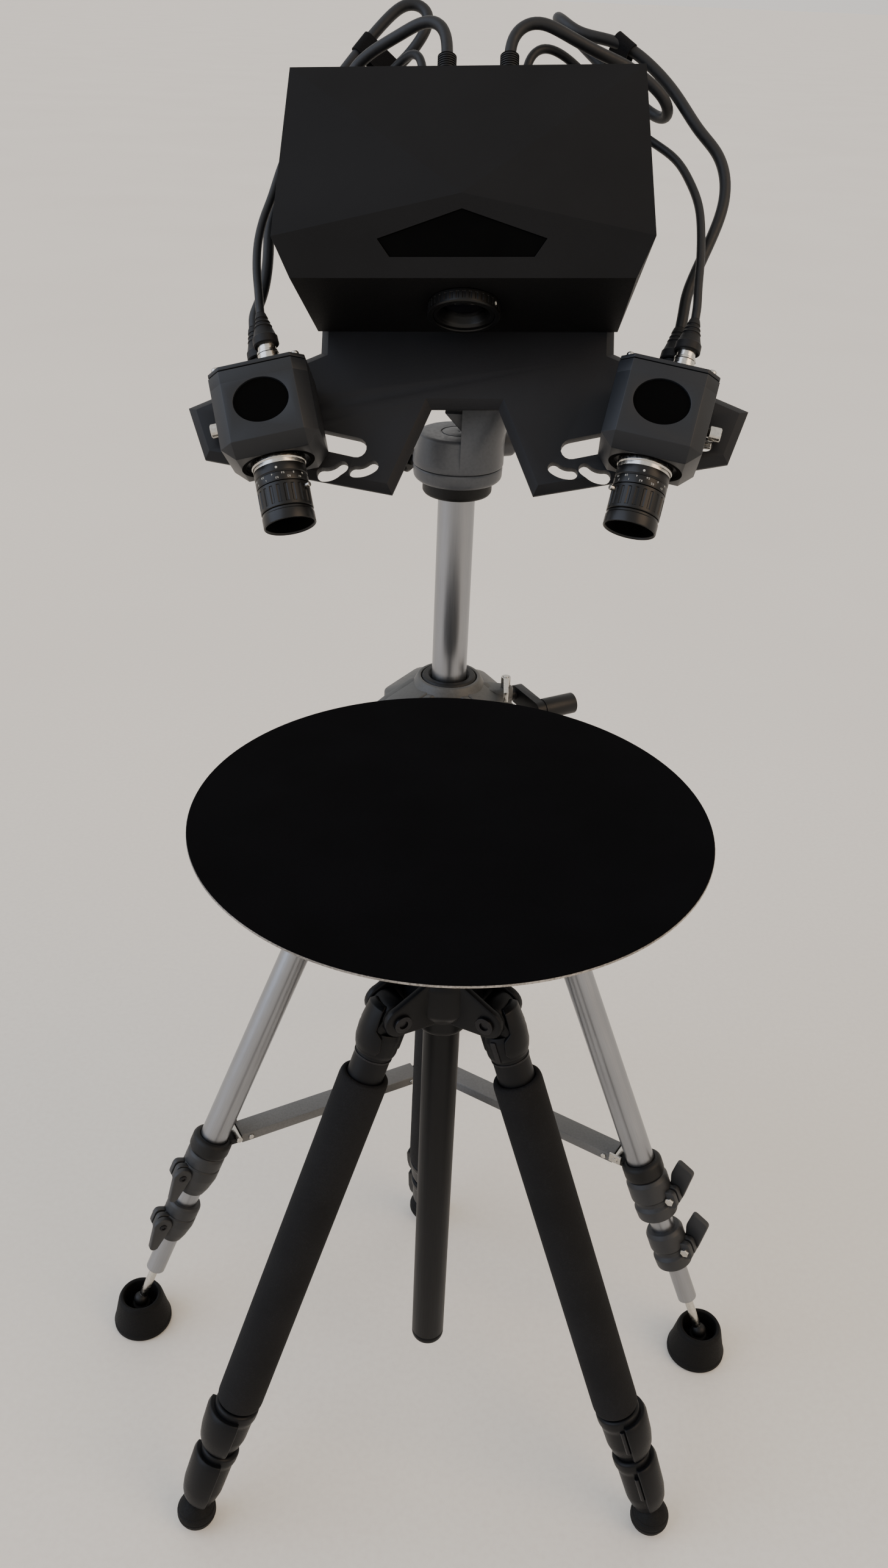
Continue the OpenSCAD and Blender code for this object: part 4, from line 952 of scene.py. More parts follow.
@dataclass
class ScanHead:
    """The bracket plate and the projector on it."""

    cameras_ahead: float = 66.5
    outline: tuple[Point, ...] = ((24, -41), (50, -104.5), (186, -80), (200, -42), (105, 0), (105, 150))
    thick: float = 8.0
    chamfer: float = 5.5
    oblong: tuple[Point, Point] = ((76.0, -72.0), (104.0, -66.0))
    oblong_w: float = 14.5
    kidneys: tuple[tuple[float, float, float, float, float], ...] = (
        (75.5, -72.0, 17.8, -130.0, -86.0), (98.0, -73.5, 17.8, -134.0, -84.0))
    kidney_w: float = 8.5
    wing_slots: tuple[tuple[Point, Point], ...] = (((158, -52.5), (168, -50)), ((160, -68.5), (170, -68.5)))
    rear: float = 152.0
    lens_rise: float = 42.0
    lens_front: float = 5.7
    ring_front: float = 4.7
    ring_back: float = 13.7
    ring_r: float = 25.0
    lens_r: float = 21.0
    panel_screws: tuple[Point, ...] = ((-93, 8), (93, 8), (-103, 82), (103, 82))
    glands: tuple[tuple[float, float, float, float, float], ...] = (
        (-14.5, 75, 8, 6.5, 20), (27.5, 75, 8, 6.5, 20), (-31.5, 62, 5.5, 4, 9), (38, 62, 5.5, 4, 9))
    inlet: Point = (78.0, 34.0)

    def build(self) -> None:
        """Make the plate, the housing, the projector's lens and the glands."""
        self._plate()
        self._housing()
        self._lens()
        self._rear()

    def _plate(self) -> None:
        """The bracket plate with a broad chamfer round its top face, and its slots."""
        ring = [*self.outline, *((-x, y) for x, y in reversed(self.outline))]
        blank = Solid()
        blank.loft([[(x, y, z) for x, y in inset(ring, by)] for by, z in
                    ((0, -self.thick), (0, -self.chamfer), (self.chamfer, 0))], PLATE)
        lines = [(self.oblong, self.oblong_w), *((line, self.kidney_w) for line in self.wing_slots)]
        for x, y, r, start, end in self.kidneys:
            lines.append((arc(r, start, end, 9, (x, y)), self.kidney_w))
        holes = Solid()
        for way in (-1, 1):
            for line, width in lines:
                holes.slab(band([(way * x, y) for x, y in line], width), -self.thick - 1, 1, PLATE, STAY, 0)
        plate = Solid()
        plate.carved(blank, holes, PLATE, 0.4)
        plate.build("bracket_plate_coated", "head", plate_frame(), ("bracket_plate",))

    def _housing(self) -> None:
        """The cover, the floor of the housing, the window and the light engine."""
        for node, finish, bevel in (("projector_cover", HOUSING, 0.9), ("projector_base", HOUSING, 0.5),
                                    ("front_window", WINDOW, 0.3), ("light_engine", ENGINE, 0.8)):
            recast_piece(node, f"{node}_moulded", "head", finish, bevel, SHARP_COVER)

    def _lens(self) -> None:
        """The projector's barrel with its glass, and the focus ring round it."""
        at = plate_frame() @ Matrix.Translation((0, 0, self.lens_rise * MM)) @ spin(90, "X")
        front = -self.lens_front
        barrel = Solid()
        barrel.turn([(0, -56), (self.lens_r, -56), (self.lens_r, front), (18.5, front), (17, front - 2),
                     (15, front - 9), (0, front - 9)], LENS, sides=64, ease=0.5)
        bulge = [(15.2 * math.sin(a), front - 8.6 + 4.5 * math.cos(a)) for a in
                 (math.pi / 2 * (1 - k / 8) for k in range(9))]
        barrel.turn([*bulge, (0, front - 9.6), (15.2, front - 9.6)][::-1], GLASS, sides=64)
        barrel.build("projector_barrel", "head", at, ("projector_lens",))
        ring = Solid()
        r, z0, z1 = self.ring_r, -self.ring_back, -self.ring_front
        ring.turn([(self.lens_r + 0.1, z0), (r - 0.6, z0), (r, z0 + 0.6), (r, z0 + 2), (r, z0 + 2.3),
                   (r, z1 - 2.3), (r, z1 - 2), (r, z1 - 0.8), (r - 0.8, z1), (self.lens_r + 0.8, z1),
                   (self.lens_r + 0.1, z1 - 0.7)], LENS, ring=True, ribs=36, rib_depth=0.5,
                  ribbed=(z0 + 2.1, z1 - 2.1))
        mark = spin(28) @ shift(0, 0, (z0 + z1) / 2) @ spin(90, "Y")
        ring.rod(1.2, r - 0.5, r + 0.15, PAINT, mark, 0.1, 16)
        ring.build("projector_focus_grip", "projector_focus", at, ("projector_focus_ring",))

    def _rear(self) -> None:
        """The rear panel with its screws and inlet pins, and the glands."""
        plate = plate_frame()
        panel = Solid()
        panel.recast("rear_panel", HOUSING, 0.4)
        on_back = plate @ Matrix.Translation((0, self.rear * MM, 0)) @ spin(-90, "X")
        place = in_mm(on_back)
        for x, z in self.panel_screws:
            panel.screw(3.0, 1.6, OXIDE, place @ shift(x, -z, 0))
        for dx, dz in ((-7, -2), (7, -2), (0, 4)):
            panel.slab(box(-1, 1, -2.5, 2.5), 2.0, 5.4, NICKEL,
                       place @ shift(self.inlet[0] + dx, -self.inlet[1] - dz, 0), 0.3)
        panel.build("rear_panel_moulded", "head", stands_for=("rear_panel",))
        glands = Solid()
        for x, z, base, neck, long in self.glands:
            profile = [(0, -0.2), (base, -0.2), (base, 2.5), (base - 0.8, 3), (base, 3.5), (base, 6),
                       (neck + 0.6, 6.3)]
            steps = int((long - 7) / 1.6)
            for k in range(steps):
                z0 = 6.6 + 1.6 * k
                profile += [(neck, z0), (neck, z0 + 0.8), (neck - 0.6, z0 + 0.9), (neck - 0.6, z0 + 1.5)]
            profile += [(neck, long - 0.4), (neck - 0.4, long), (0, long)]
            glands.turn(profile, BOOT, shift(x, -z, 0), 32)
        glands.build("lead_glands_moulded", "head", on_back, ("lead_glands",))


@dataclass
class CameraUnit:
    """A camera on its pivot: box, cover, plugs and lens."""

    side: Side
    seat: float = 0.2
    depth: float = 60.0
    height: float = 62.0
    width: float = 68.0
    cover_t: float = 3.0
    chamfer: float = 9.0
    lens_rise: float = 30.0
    lens_r: float = 18.25
    mount_r: float = 19.0
    ring_from: float = 18.0
    ring_to: float = 35.0
    front: float = 45.0
    core_r: float = 15.0
    shell_l: float = 18.0
    boot_l: float = 24.0
    boot_r: float = 9.0
    # The oval of painted shade in the box top's hollow: its half-widths, and how far back it sits
    pad: Point = (18.6, 15.1)
    pad_back: float = 4.5
    screws: Point = (27.5, 23.5)

    def build(self) -> None:
        """Make the camera and its lens."""
        self._box()
        self._cover()
        self._plugs()
        self._lens()
        self._ring()

    @property
    def at(self) -> Matrix:
        """The camera's frame."""
        return camera_frame(self.side)

    @property
    def lens_at(self) -> Matrix:
        """The lens's frame, with Z forward along its axis."""
        return self.at @ Matrix.Translation((0, -self.depth / 2 * MM, self.lens_rise * MM)) @ spin(90, "X")

    @property
    def section(self) -> list[Point]:
        """The box's outline as seen from behind."""
        return cut_corners(self.width, self.height, self.chamfer)

    def _body(self) -> str:
        """The CAD body of the camera."""
        return f"{self.side.label}_camera"

    def _box(self) -> None:
        """The box with its clamp screws, painted shade in the hollow on its top and round its lens mount, and
        the sensor board inside.
        """
        label = self.side.label
        shell = Solid()
        shell.recast(f"{label}_camera_box", CAMERA, 0.5)
        place = in_mm(self.at)
        rear = place @ shift(0, self.depth / 2, self.height / 2) @ spin(-90, "X")
        shell.slab(self.section, -self.chamfer - 0.4, -0.5, CAMERA, rear, 0.3)
        # Painted shade: a black oval sheet low in the hollow on the box top, so that the hollow reads as a
        # deep hole
        w, h = self.pad
        oval = [(w * math.cos(a), h * math.sin(a) + self.pad_back) for a in fan(math.tau, 64)]
        shell.slab(oval, self.height - 2.1, self.height - 1.4, FELT_AND_PAINTED_SHADE, place, 0)
        out = place @ shift(self.side.value * self.width / 2, 12, 9) @ spin(self.side.value * 90, "Y")
        shell.turn([(0, -1), (3.2, -1), (3.2, 3), (5.2, 3.4), (5.2, 10.6), (4.6, 11.2), (0, 11.2)], NICKEL,
                   out, ribs=20, rib_depth=0.4, ribbed=(3.5, 10.5))
        slant = place @ shift(self.side.value * (self.width / 2 - 1), 3, 7) @ spin(self.side.value * 75, "Y")
        shell.rod(2.2, -2, 8, NICKEL, slant, 0.4, 20)
        # Painted shade: a thin black ring on the front face round the lens mount, standing in for the shade
        # of a wider recess
        painted_recess_shade = []
        for wide, high, z in ((22.4, 22.4, -0.3), (25.4, 22.6, -0.3), (25.4, 22.6, 0.12), (22.4, 22.4, 0.12)):
            painted_recess_shade.append([(wide * math.cos(a), high * math.sin(a), z) for a in fan(math.tau, 72)])
        shell.loft(painted_recess_shade, FELT_AND_PAINTED_SHADE, in_mm(self.lens_at), cyclic=True)
        shell.build(f"{label}_camera_shell", self._body(), stands_for=(f"{label}_camera_box",))
        recast_piece(f"{label}_sensor", f"{label}_sensor_board", self._body(), BOARD, 0.1)

    def _cover(self) -> None:
        """The rear cover on its gasket, with four domed screws."""
        cover = Solid()
        at = shift(0, self.depth / 2, self.height / 2) @ spin(-90, "X")
        cover.slab(inset(self.section, 0.3), 0.3, self.cover_t, CAMERA, at, 0.5)
        cover.slab(inset(self.section, 1.5), -0.6, 0.5, FELT_AND_PAINTED_SHADE, at, 0)
        x, y = self.screws
        for place in (shift(x, y, 0), shift(-x, y, 0), shift(x, -y, 0), shift(-x, -y, 0)):
            cover.dome(3.0, 3.2, NICKEL, at @ place @ shift(0, 0, self.cover_t))
        cover.build(f"{self.side.label}_camera_back", self._body(), self.at,
                    (f"{self.side.label}_camera_cover",))

    def _plugs(self) -> None:
        """The plugs: a black one for the thick lead, a stepped plated one with a boot for the thin lead."""
        plugs = Solid()
        for lead in LEADS:
            if lead.side is not self.side:
                continue
            r, wide, neck = lead.diameter / 2, self.boot_r, self.shell_l
            at = shift(lead.plug[0], self.depth / 2 + self.cover_t, lead.plug[1]) @ spin(-90, "X")
            shell = [(0, 0.05), (8, 0.05), (8, 3), (7.4, 3.4), (7.4, 4.6), (8, 5), (8, 8), (7.2, 8.4),
                     (7.2, 11.6), (7.6, 12), (7.4, 13.6), (6.4, 14.2), (6.4, neck + 0.4), (0, neck + 0.4)]
            plugs.turn(shell, NICKEL if lead.gauge == "thin" else BOOT, at, 40)
            profile = [(0, neck), (wide - 0.8, neck), (wide, neck + 0.8), (wide - 0.2, neck + 6),
                       (wide - 0.9, neck + 7)]
            for k in range(3):
                z0, rib = neck + 12 + 3.2 * k, wide - 1.6 - (wide - r - 2.4) * (k + 1) / 4
                profile += [(rib, z0), (rib - 0.5, z0 + 0.4), (rib - 0.5, z0 + 1.2), (rib, z0 + 1.6)]
            end = neck + self.boot_l
            profile += [(r + 0.8, end - 1), (r + 0.4, end), (0, end)]
            plugs.turn(profile, BOOT, at, 40)
        plugs.build(f"{self.side.label}_plugs_fitted", self._body(), self.at, (f"{self.side.label}_plugs",))

    def _lens(self) -> None:
        """The plated mount, the engraved ring, the hood and the glass."""
        r, core, front = self.lens_r, self.core_r, self.front
        lens = Solid()
        lens.turn([(0, -3.3), (self.mount_r, -3.3), (self.mount_r, 1.6), (self.mount_r - 0.7, 2.2),
                   (self.mount_r - 0.7, 5), (0, 5)], NICKEL, sides=64, ease=0.3)
        lens.turn(soften([(0, 4.6), (r, 4.6), (r, 10.6), (r - 0.5, 11), (r - 0.5, 11.5), (r, 11.9),
                          (r, self.ring_from - 0.3), (core, self.ring_from - 0.3), (core, self.ring_to + 0.5),
                          (r - 0.6, self.ring_to + 0.5), (r - 0.6, self.ring_to + 2), (r, self.ring_to + 2.6),
                          (r, front - 0.5), (r - 0.5, front), (r - 1.1, front - 0.4), (16.4, front - 2),
                          (12.4, front - 11), (0, front - 11)], 0.2, steps=3), LENS, sides=72)
        lens.turn([(12.1, front - 10.9), (16.6, front - 1.4), (16.2, front - 1.4), (11.7, front - 10.9)], FELT_AND_PAINTED_SHADE,
                  sides=72, ring=True)
        dome = [(12 * math.sin(a), front - 11 + 2.4 * math.cos(a)) for a in fan(math.pi / 2, 7, True)]
        lens.turn([(0, front - 11.4), (12, front - 11.4), *dome[::-1]], GLASS, sides=48)
        for k, mark in enumerate(("16", "8", "5.6", "4", "2.8", "1.4")):
            lens.figures(mark, 1.9, r, 30 + 24 * k, 12.4, PAINT)
        for k, mark in enumerate(("0.1", "0.2", "0.5", "1", "3")):
            lens.figures(mark, 1.9, r, 40 + 26 * k, 15.2, PAINT)
        dot = spin(90) @ shift(0, 0, 8.6) @ spin(-90, "Y") @ spin(180, "X")
        lens.rod(0.8, r - 0.2, r + 0.12, PAINT, dot, 0.05, 16)
        lens.build(f"{self.side.label}_lens_barrel", self._body(), self.lens_at, (f"{self.side.label}_lens",))

    def _ring(self) -> None:
        """The ribbed focus ring with its thumb screw."""
        r, z0, z1 = self.lens_r, self.ring_from, self.ring_to
        ring = Solid()
        ring.turn([(self.core_r + 0.1, z0), (r - 0.4, z0), (r, z0 + 0.4), (r, z0 + 2.2), (r, z0 + 2.6),
                   (r, z1 - 2.6), (r, z1 - 2.2), (r, z1 - 0.4), (r - 0.4, z1), (self.core_r + 0.1, z1)], LENS,
                  ring=True, ribs=22, rib_depth=0.6, ribbed=(z0 + 2.4, z1 - 2.4))
        thumb = spin(90 + self.side.value * 62) @ shift(0, 0, z0 + 4) @ spin(90, "Y")
        ring.turn([(0, r - 2), (1.1, r - 2), (1.1, r + 0.8), (1.9, r + 1.2), (1.9, r + 3.6), (1.5, r + 4.1),
                   (0, r + 4.1)], NICKEL, thumb, ribs=10, rib_depth=0.2, ribbed=(r + 1.3, r + 3.5))
        ring.build(f"{self.side.label}_focus_grip", f"{self.side.label}_focus", self.lens_at,
                   (f"{self.side.label}_focus_ring",))


@dataclass
class TripodHead:
    """The pan and tilt head under the plate."""

    ring_r: float = 27.0
    ring_from: float = 805.7
    base_from: float = 816.7
    base_to: float = 828.7
    base_r: float = 35.0
    turn_to: float = 853.0
    tilt_h: float = 895.0
    arm: Point = (2.0, 38.0)
    arm_half: float = 22.0
    arm_end_r: float = 25.0
    knob_r: float = 19.5

    def build(self) -> None:
        """Make the base, the arm, the tilt plate and the knobs."""
        at = floor_under("head_pan")
        self._base(at)
        self._arm(at)
        self._plate()
        self._knobs()

    def _base(self, at: Matrix) -> None:
        """Make the black ring on the column and the rounded base above it.

        Args:
            at: the stand's frame on the floor.
        """
        base = Solid()
        r = self.base_r
        base.turn([(0, self.base_from), (r - 3.5, self.base_from), (r - 0.8, self.base_from + 2.6),
                   (r - 0.4, self.base_to), (10, self.base_to), (10, self.base_to + 17),
                   (0, self.base_to + 17)], HEAD, sides=72, ease=2.5)
        base.turn([(0, self.ring_from), (self.ring_r - 1.5, self.ring_from),
                   (self.ring_r, self.ring_from + 2), (self.ring_r, self.base_from + 0.2),
                   (0, self.base_from + 0.2)], COLLAR, sides=64, ease=0.8)
        base.build("pan_base_casting", "column", at, ("pan_base",))

    def _arm(self, at: Matrix) -> None:
        """Make the turning part, tapered with an inset cap, and the barrel-sided arm.

        Args:
            at: the stand's frame on the floor.
        """
        arm = Solid()
        r, low, top = self.base_r, self.base_to + 0.3, self.turn_to
        arm.turn([(10.3, low), (r, low), (r, low + 4), (r - 4, top - 1), (r - 7, top), (14, top),
                  (14, top - 0.8), (13, top - 0.8), (13, top), (0, top), (0, low + 18), (10.3, low + 18)],
                 HEAD, sides=72, ease=1.2)
        x0, x1 = self.arm
        hub = [(self.turn_to - 22 + rise, share, self.arm_half) for rise, share in
               ((0, 0.0), (14, 0.0), (22, 0.15), (31, 0.45), (41, 0.8), (50, 1.0))]
        for angle in (-20, 0, 20, 38, 54, 68, 78, 86):
            turned = math.radians(angle)
            hub.append((self.tilt_h + self.arm_end_r * math.sin(turned), 1.0,
                        self.arm_end_r * math.cos(turned)))
        rings = []
        for z, share, half in hub:
            round_side = arc(r, -86, 86, 33)
            flat_side = [(x0 + (x1 - x0) * (x / r) ** 0.35, half * math.copysign(abs(y / r) ** 0.35, y))
                         for x, y in round_side]
            ring = [(a + (c - a) * share, b + (d - b) * share)
                    for (a, b), (c, d) in zip(round_side, flat_side)]
            ring += [(x0, ring[-1][1] + (ring[0][1] - ring[-1][1]) * k / 8) for k in range(9)]
            rings.append([(x, y, z) for x, y in ring])
        arm.loft(rings, HEAD)
        arm.turn([(0, 26), (9.5, 26), (9.5, 43), (7, 46), (0, 46)], HEAD,
                 spin(22) @ shift(0, 0, low + 12) @ spin(90, "Y"), ease=1.5)
        arm.slab([(2.5, 856), (2.5, 870.6), (-11.5, 870.6)], -15, 15, HEAD, UPRIGHT, 1.2)
        arm.build("tilt_arm_casting", "pan", at, ("tilt_arm",))

    def _plate(self) -> None:
        """The tilt boss on its shaft, the web and the platform under the bracket plate."""
        normal = axis("left_camera_toe")
        at = frame_at(pivot("head_tilt"), Vector((0, normal.y, normal.z)).normalized(), ACROSS)
        tilt = Solid()
        along = spin(90, "Y")
        tilt.turn([(0, -38), (20, -38), (22, -36), (22, 1.4), (9, 1.4), (9, 58), (0, 58)], HEAD, along, 64,
                  ease=1.5)
        tilt.screw(7, 3, OXIDE, shift(-38, 0, 0) @ spin(-90, "Y"))
        tilt.slab(box(-36, 0, -17, 17), 5, 30, HEAD, STAY, 3)
        under = in_mm(at.inverted() @ plate_frame())
        tilt.slab(soften(box(-38, 38, -32, 32), 6, closed=True), -16, -8.9, HEAD, under, 1.5)
        tilt.slab(soften(box(-36, 36, -30, 30), 5, closed=True), -9, -8.02, RUBBER, under, 0.2)
        tilt.build("tilt_plate_casting", "head", at, ("tilt_plate",))

    def _knobs(self) -> None:
        """The lobed tilt knob and the pan lock knob."""
        knob = Solid()
        tilt = frame_at(pivot("tilt_knob_turn"), axis("tilt_knob_turn"), UP)
        lobes = []
        for a in fan(math.tau, 72):
            r = self.knob_r - 2 - 3.2 * math.cos(6 * a) ** 2
            lobes.append((r * math.cos(a), r * math.sin(a)))
        knob.slab(lobes, 38.6, 56.5, KNOB, STAY, 1.6)
        knob.turn([(9.1, 56), (13, 56), (13, 58), (9.1, 58)], KNOB, ring=True, sides=40, ease=0.6)
        knob.build("tilt_knob_moulded", "tilt_knob", tilt, ("tilt_knob",))
        lock = Solid()
        place = frame_at(pivot("pan_knob_turn"), axis("pan_knob_turn"), UP)
        lock.rod(4, 33, 44, COLLAR)
        lock.turn([(0, 43), (8, 43), (10, 45), (10, 46), (10, 46.4), (10, 55.6), (10, 56), (8.6, 58),
                   (0, 58)], KNOB, ribs=12, rib_depth=0.9, ribbed=(46.2, 55.8))
        lock.build("pan_knob_moulded", "pan_knob", place, ("pan_knob",))


@dataclass
class ScannerStand:
    """The braced silver tripod: column, crown, crank, lock and braces."""

    column_r: float = 14.5
    column: Point = (328.7, 805.7)
    crown_r: float = 32.0
    rim_r: float = 27.5
    lock_r: float = 48.0
    crown: Point = (588.0, 636.0)
    collar_r: float = 23.0
    collar_to: float = 648.0
    pivot_r: float = 50.0
    pivot_h: float = 605.0
    ear_in: float = 12.3
    ear_out: float = 19.3
    brace_to: float = 206.6
    brace: Point = (202.1, 212.1)
    hub_r: float = 16.0
    at: Matrix = field(init=False)

    def build(self) -> None:
        """Make the stand's middle and its three legs."""
        self.at = floor_under("head_pan")
        self._column()
        self._crown()
        self._crank()
        self._braces()
        for k in "abc":
            ScannerLeg(k, self).build()

    def turns(self) -> list[Matrix]:
        """The stand's frame turned to each leg."""
        return [spin(angle) for angle in (90, 210, 330)]

    def _column(self) -> None:
        """The drawn column with a plug in its lower end."""
        tube = Solid()
        low, top = self.column
        tube.rod(self.column_r, low + 4, top + 0.2, TUBE, STAY, 0.6, 64)
        tube.turn([(0, low), (self.column_r - 0.6, low), (self.column_r - 0.6, low + 4.2), (0, low + 4.2)],
                  COLLAR, ease=1.2)
        tube.build("centre_column_drawn", "column", self.at, ("centre_column",))

    def _crown(self) -> None:
        """The crown with its ears and hinge bolts, and the black bush round the column."""
        crown = Solid()
        low, top = self.crown
        r, rim = self.crown_r, self.rim_r
        crown.turn([(self.column_r + 0.6, low), (r - 3, low), (r, low + 3), (r, top), (rim, top + 9),
                    (rim - 1.2, top + 11), (self.collar_r + 0.4, top + 11), (self.collar_r + 0.4, top),
                    (self.column_r + 0.6, top)], CROWN, sides=72, ring=True, ease=1.4)
        ear = [(20, low + 2), *arc(13, -80, 20, 9, (self.pivot_r, self.pivot_h)), (62, top - 13),
               (50, top - 6), (26, top + 5), (20, top + 4)]
        roof = [(22, top - 20), (60, top - 20), (65, top - 16), (62, top - 12), (50, top - 5), (26, top + 6),
                (22, top + 5)]
        for turned in self.turns():
            for y0, y1 in ((self.ear_in, self.ear_out), (-self.ear_out, -self.ear_in)):
                crown.slab(ear, -y1, -y0, CROWN, turned @ UPRIGHT, 1.6)
            crown.slab(roof, -self.ear_in - 0.5, self.ear_in + 0.5, CROWN, turned @ UPRIGHT, 1.6)
            for way in (-1, 1):
                crown.screw(6, 2.5, NICKEL, turned @ shift(self.pivot_r, way * self.ear_out, self.pivot_h)
                            @ spin(-90 * way, "X"))
        shoulder = [[(x, y, z) for x, y in soften(arc(reach, 0, 300, 6), 7, closed=True)] for reach, z in
                    ((54, top - 16), (56, top - 14), (56, top - 6), (36, top + 1))]
        crown.loft(shoulder, CROWN, STAY, 1.2)
        lug = [(r - 4, -9), (self.lock_r - 4, -7), *arc(6.5, -80, 80, 9, (self.lock_r, 0)),
               (self.lock_r - 4, 7), (r - 4, 9)]
        crown.slab(lug, top - 9, top + 2.6, CROWN, STAY, 1.2)
        crown.rod(2.4, top, self.collar_to + 0.6, NICKEL, shift(self.lock_r, 0, 0), 0.5, 20)
        crown.build("crown_casting", "scanner_stand", self.at, ("crown",))
        bush = Solid()
        bush.turn([(self.column_r + 0.2, top + 0.1), (self.collar_r, top + 0.1),
                   (self.collar_r, self.collar_to - 2), (self.collar_r - 1.6, self.collar_to),
                   (self.column_r + 3, self.collar_to), (self.column_r + 0.2, self.collar_to - 3)], COLLAR,
                  sides=64, ring=True, ease=0.6)
        bush.build("crown_bush", "scanner_stand", self.at, ("crown_collar",))

    def _crank(self) -> None:
        """The crank and the column's lock lever."""
        recast_piece("crank", "crank_moulded", "crank", KNOB, 1.2)
        recast_piece("column_lock", "column_lock_lever", "column_lock", NICKEL, 0.9)

    def _braces(self) -> None:
        """The brace arms with their pins, and the hub in the middle."""
        recast_piece("leg_braces", "leg_braces_pressed", "scanner_stand", BRACE, 0.8)
        hub = Solid()
        low, top = self.brace
        r = self.hub_r
        hub.turn([(0, low - 5), (r - 2, low - 5), (r, low - 2), (r, top + 3), (r - 3, top + 6.5),
                  (5, top + 6.5), (5, top + 5), (0, top + 5)], COLLAR, sides=48, ease=1.2)
        lug = soften(box(10, 34, -7.5, 7.5), 4, closed=True)
        for turned in self.turns():
            hub.slab(lug, low + 0.4, top - 2.4, COLLAR, turned, 0.6)
            for reach in (28.0, self.brace_to - 9):
                hub.rod(2.6, -11.5, 11.5, NICKEL, turned @ shift(reach, 0, top - 5) @ spin(90, "X"), 0.8, 20)
        hub.build("brace_hub_moulded", "scanner_stand", self.at, ("brace_hub",))


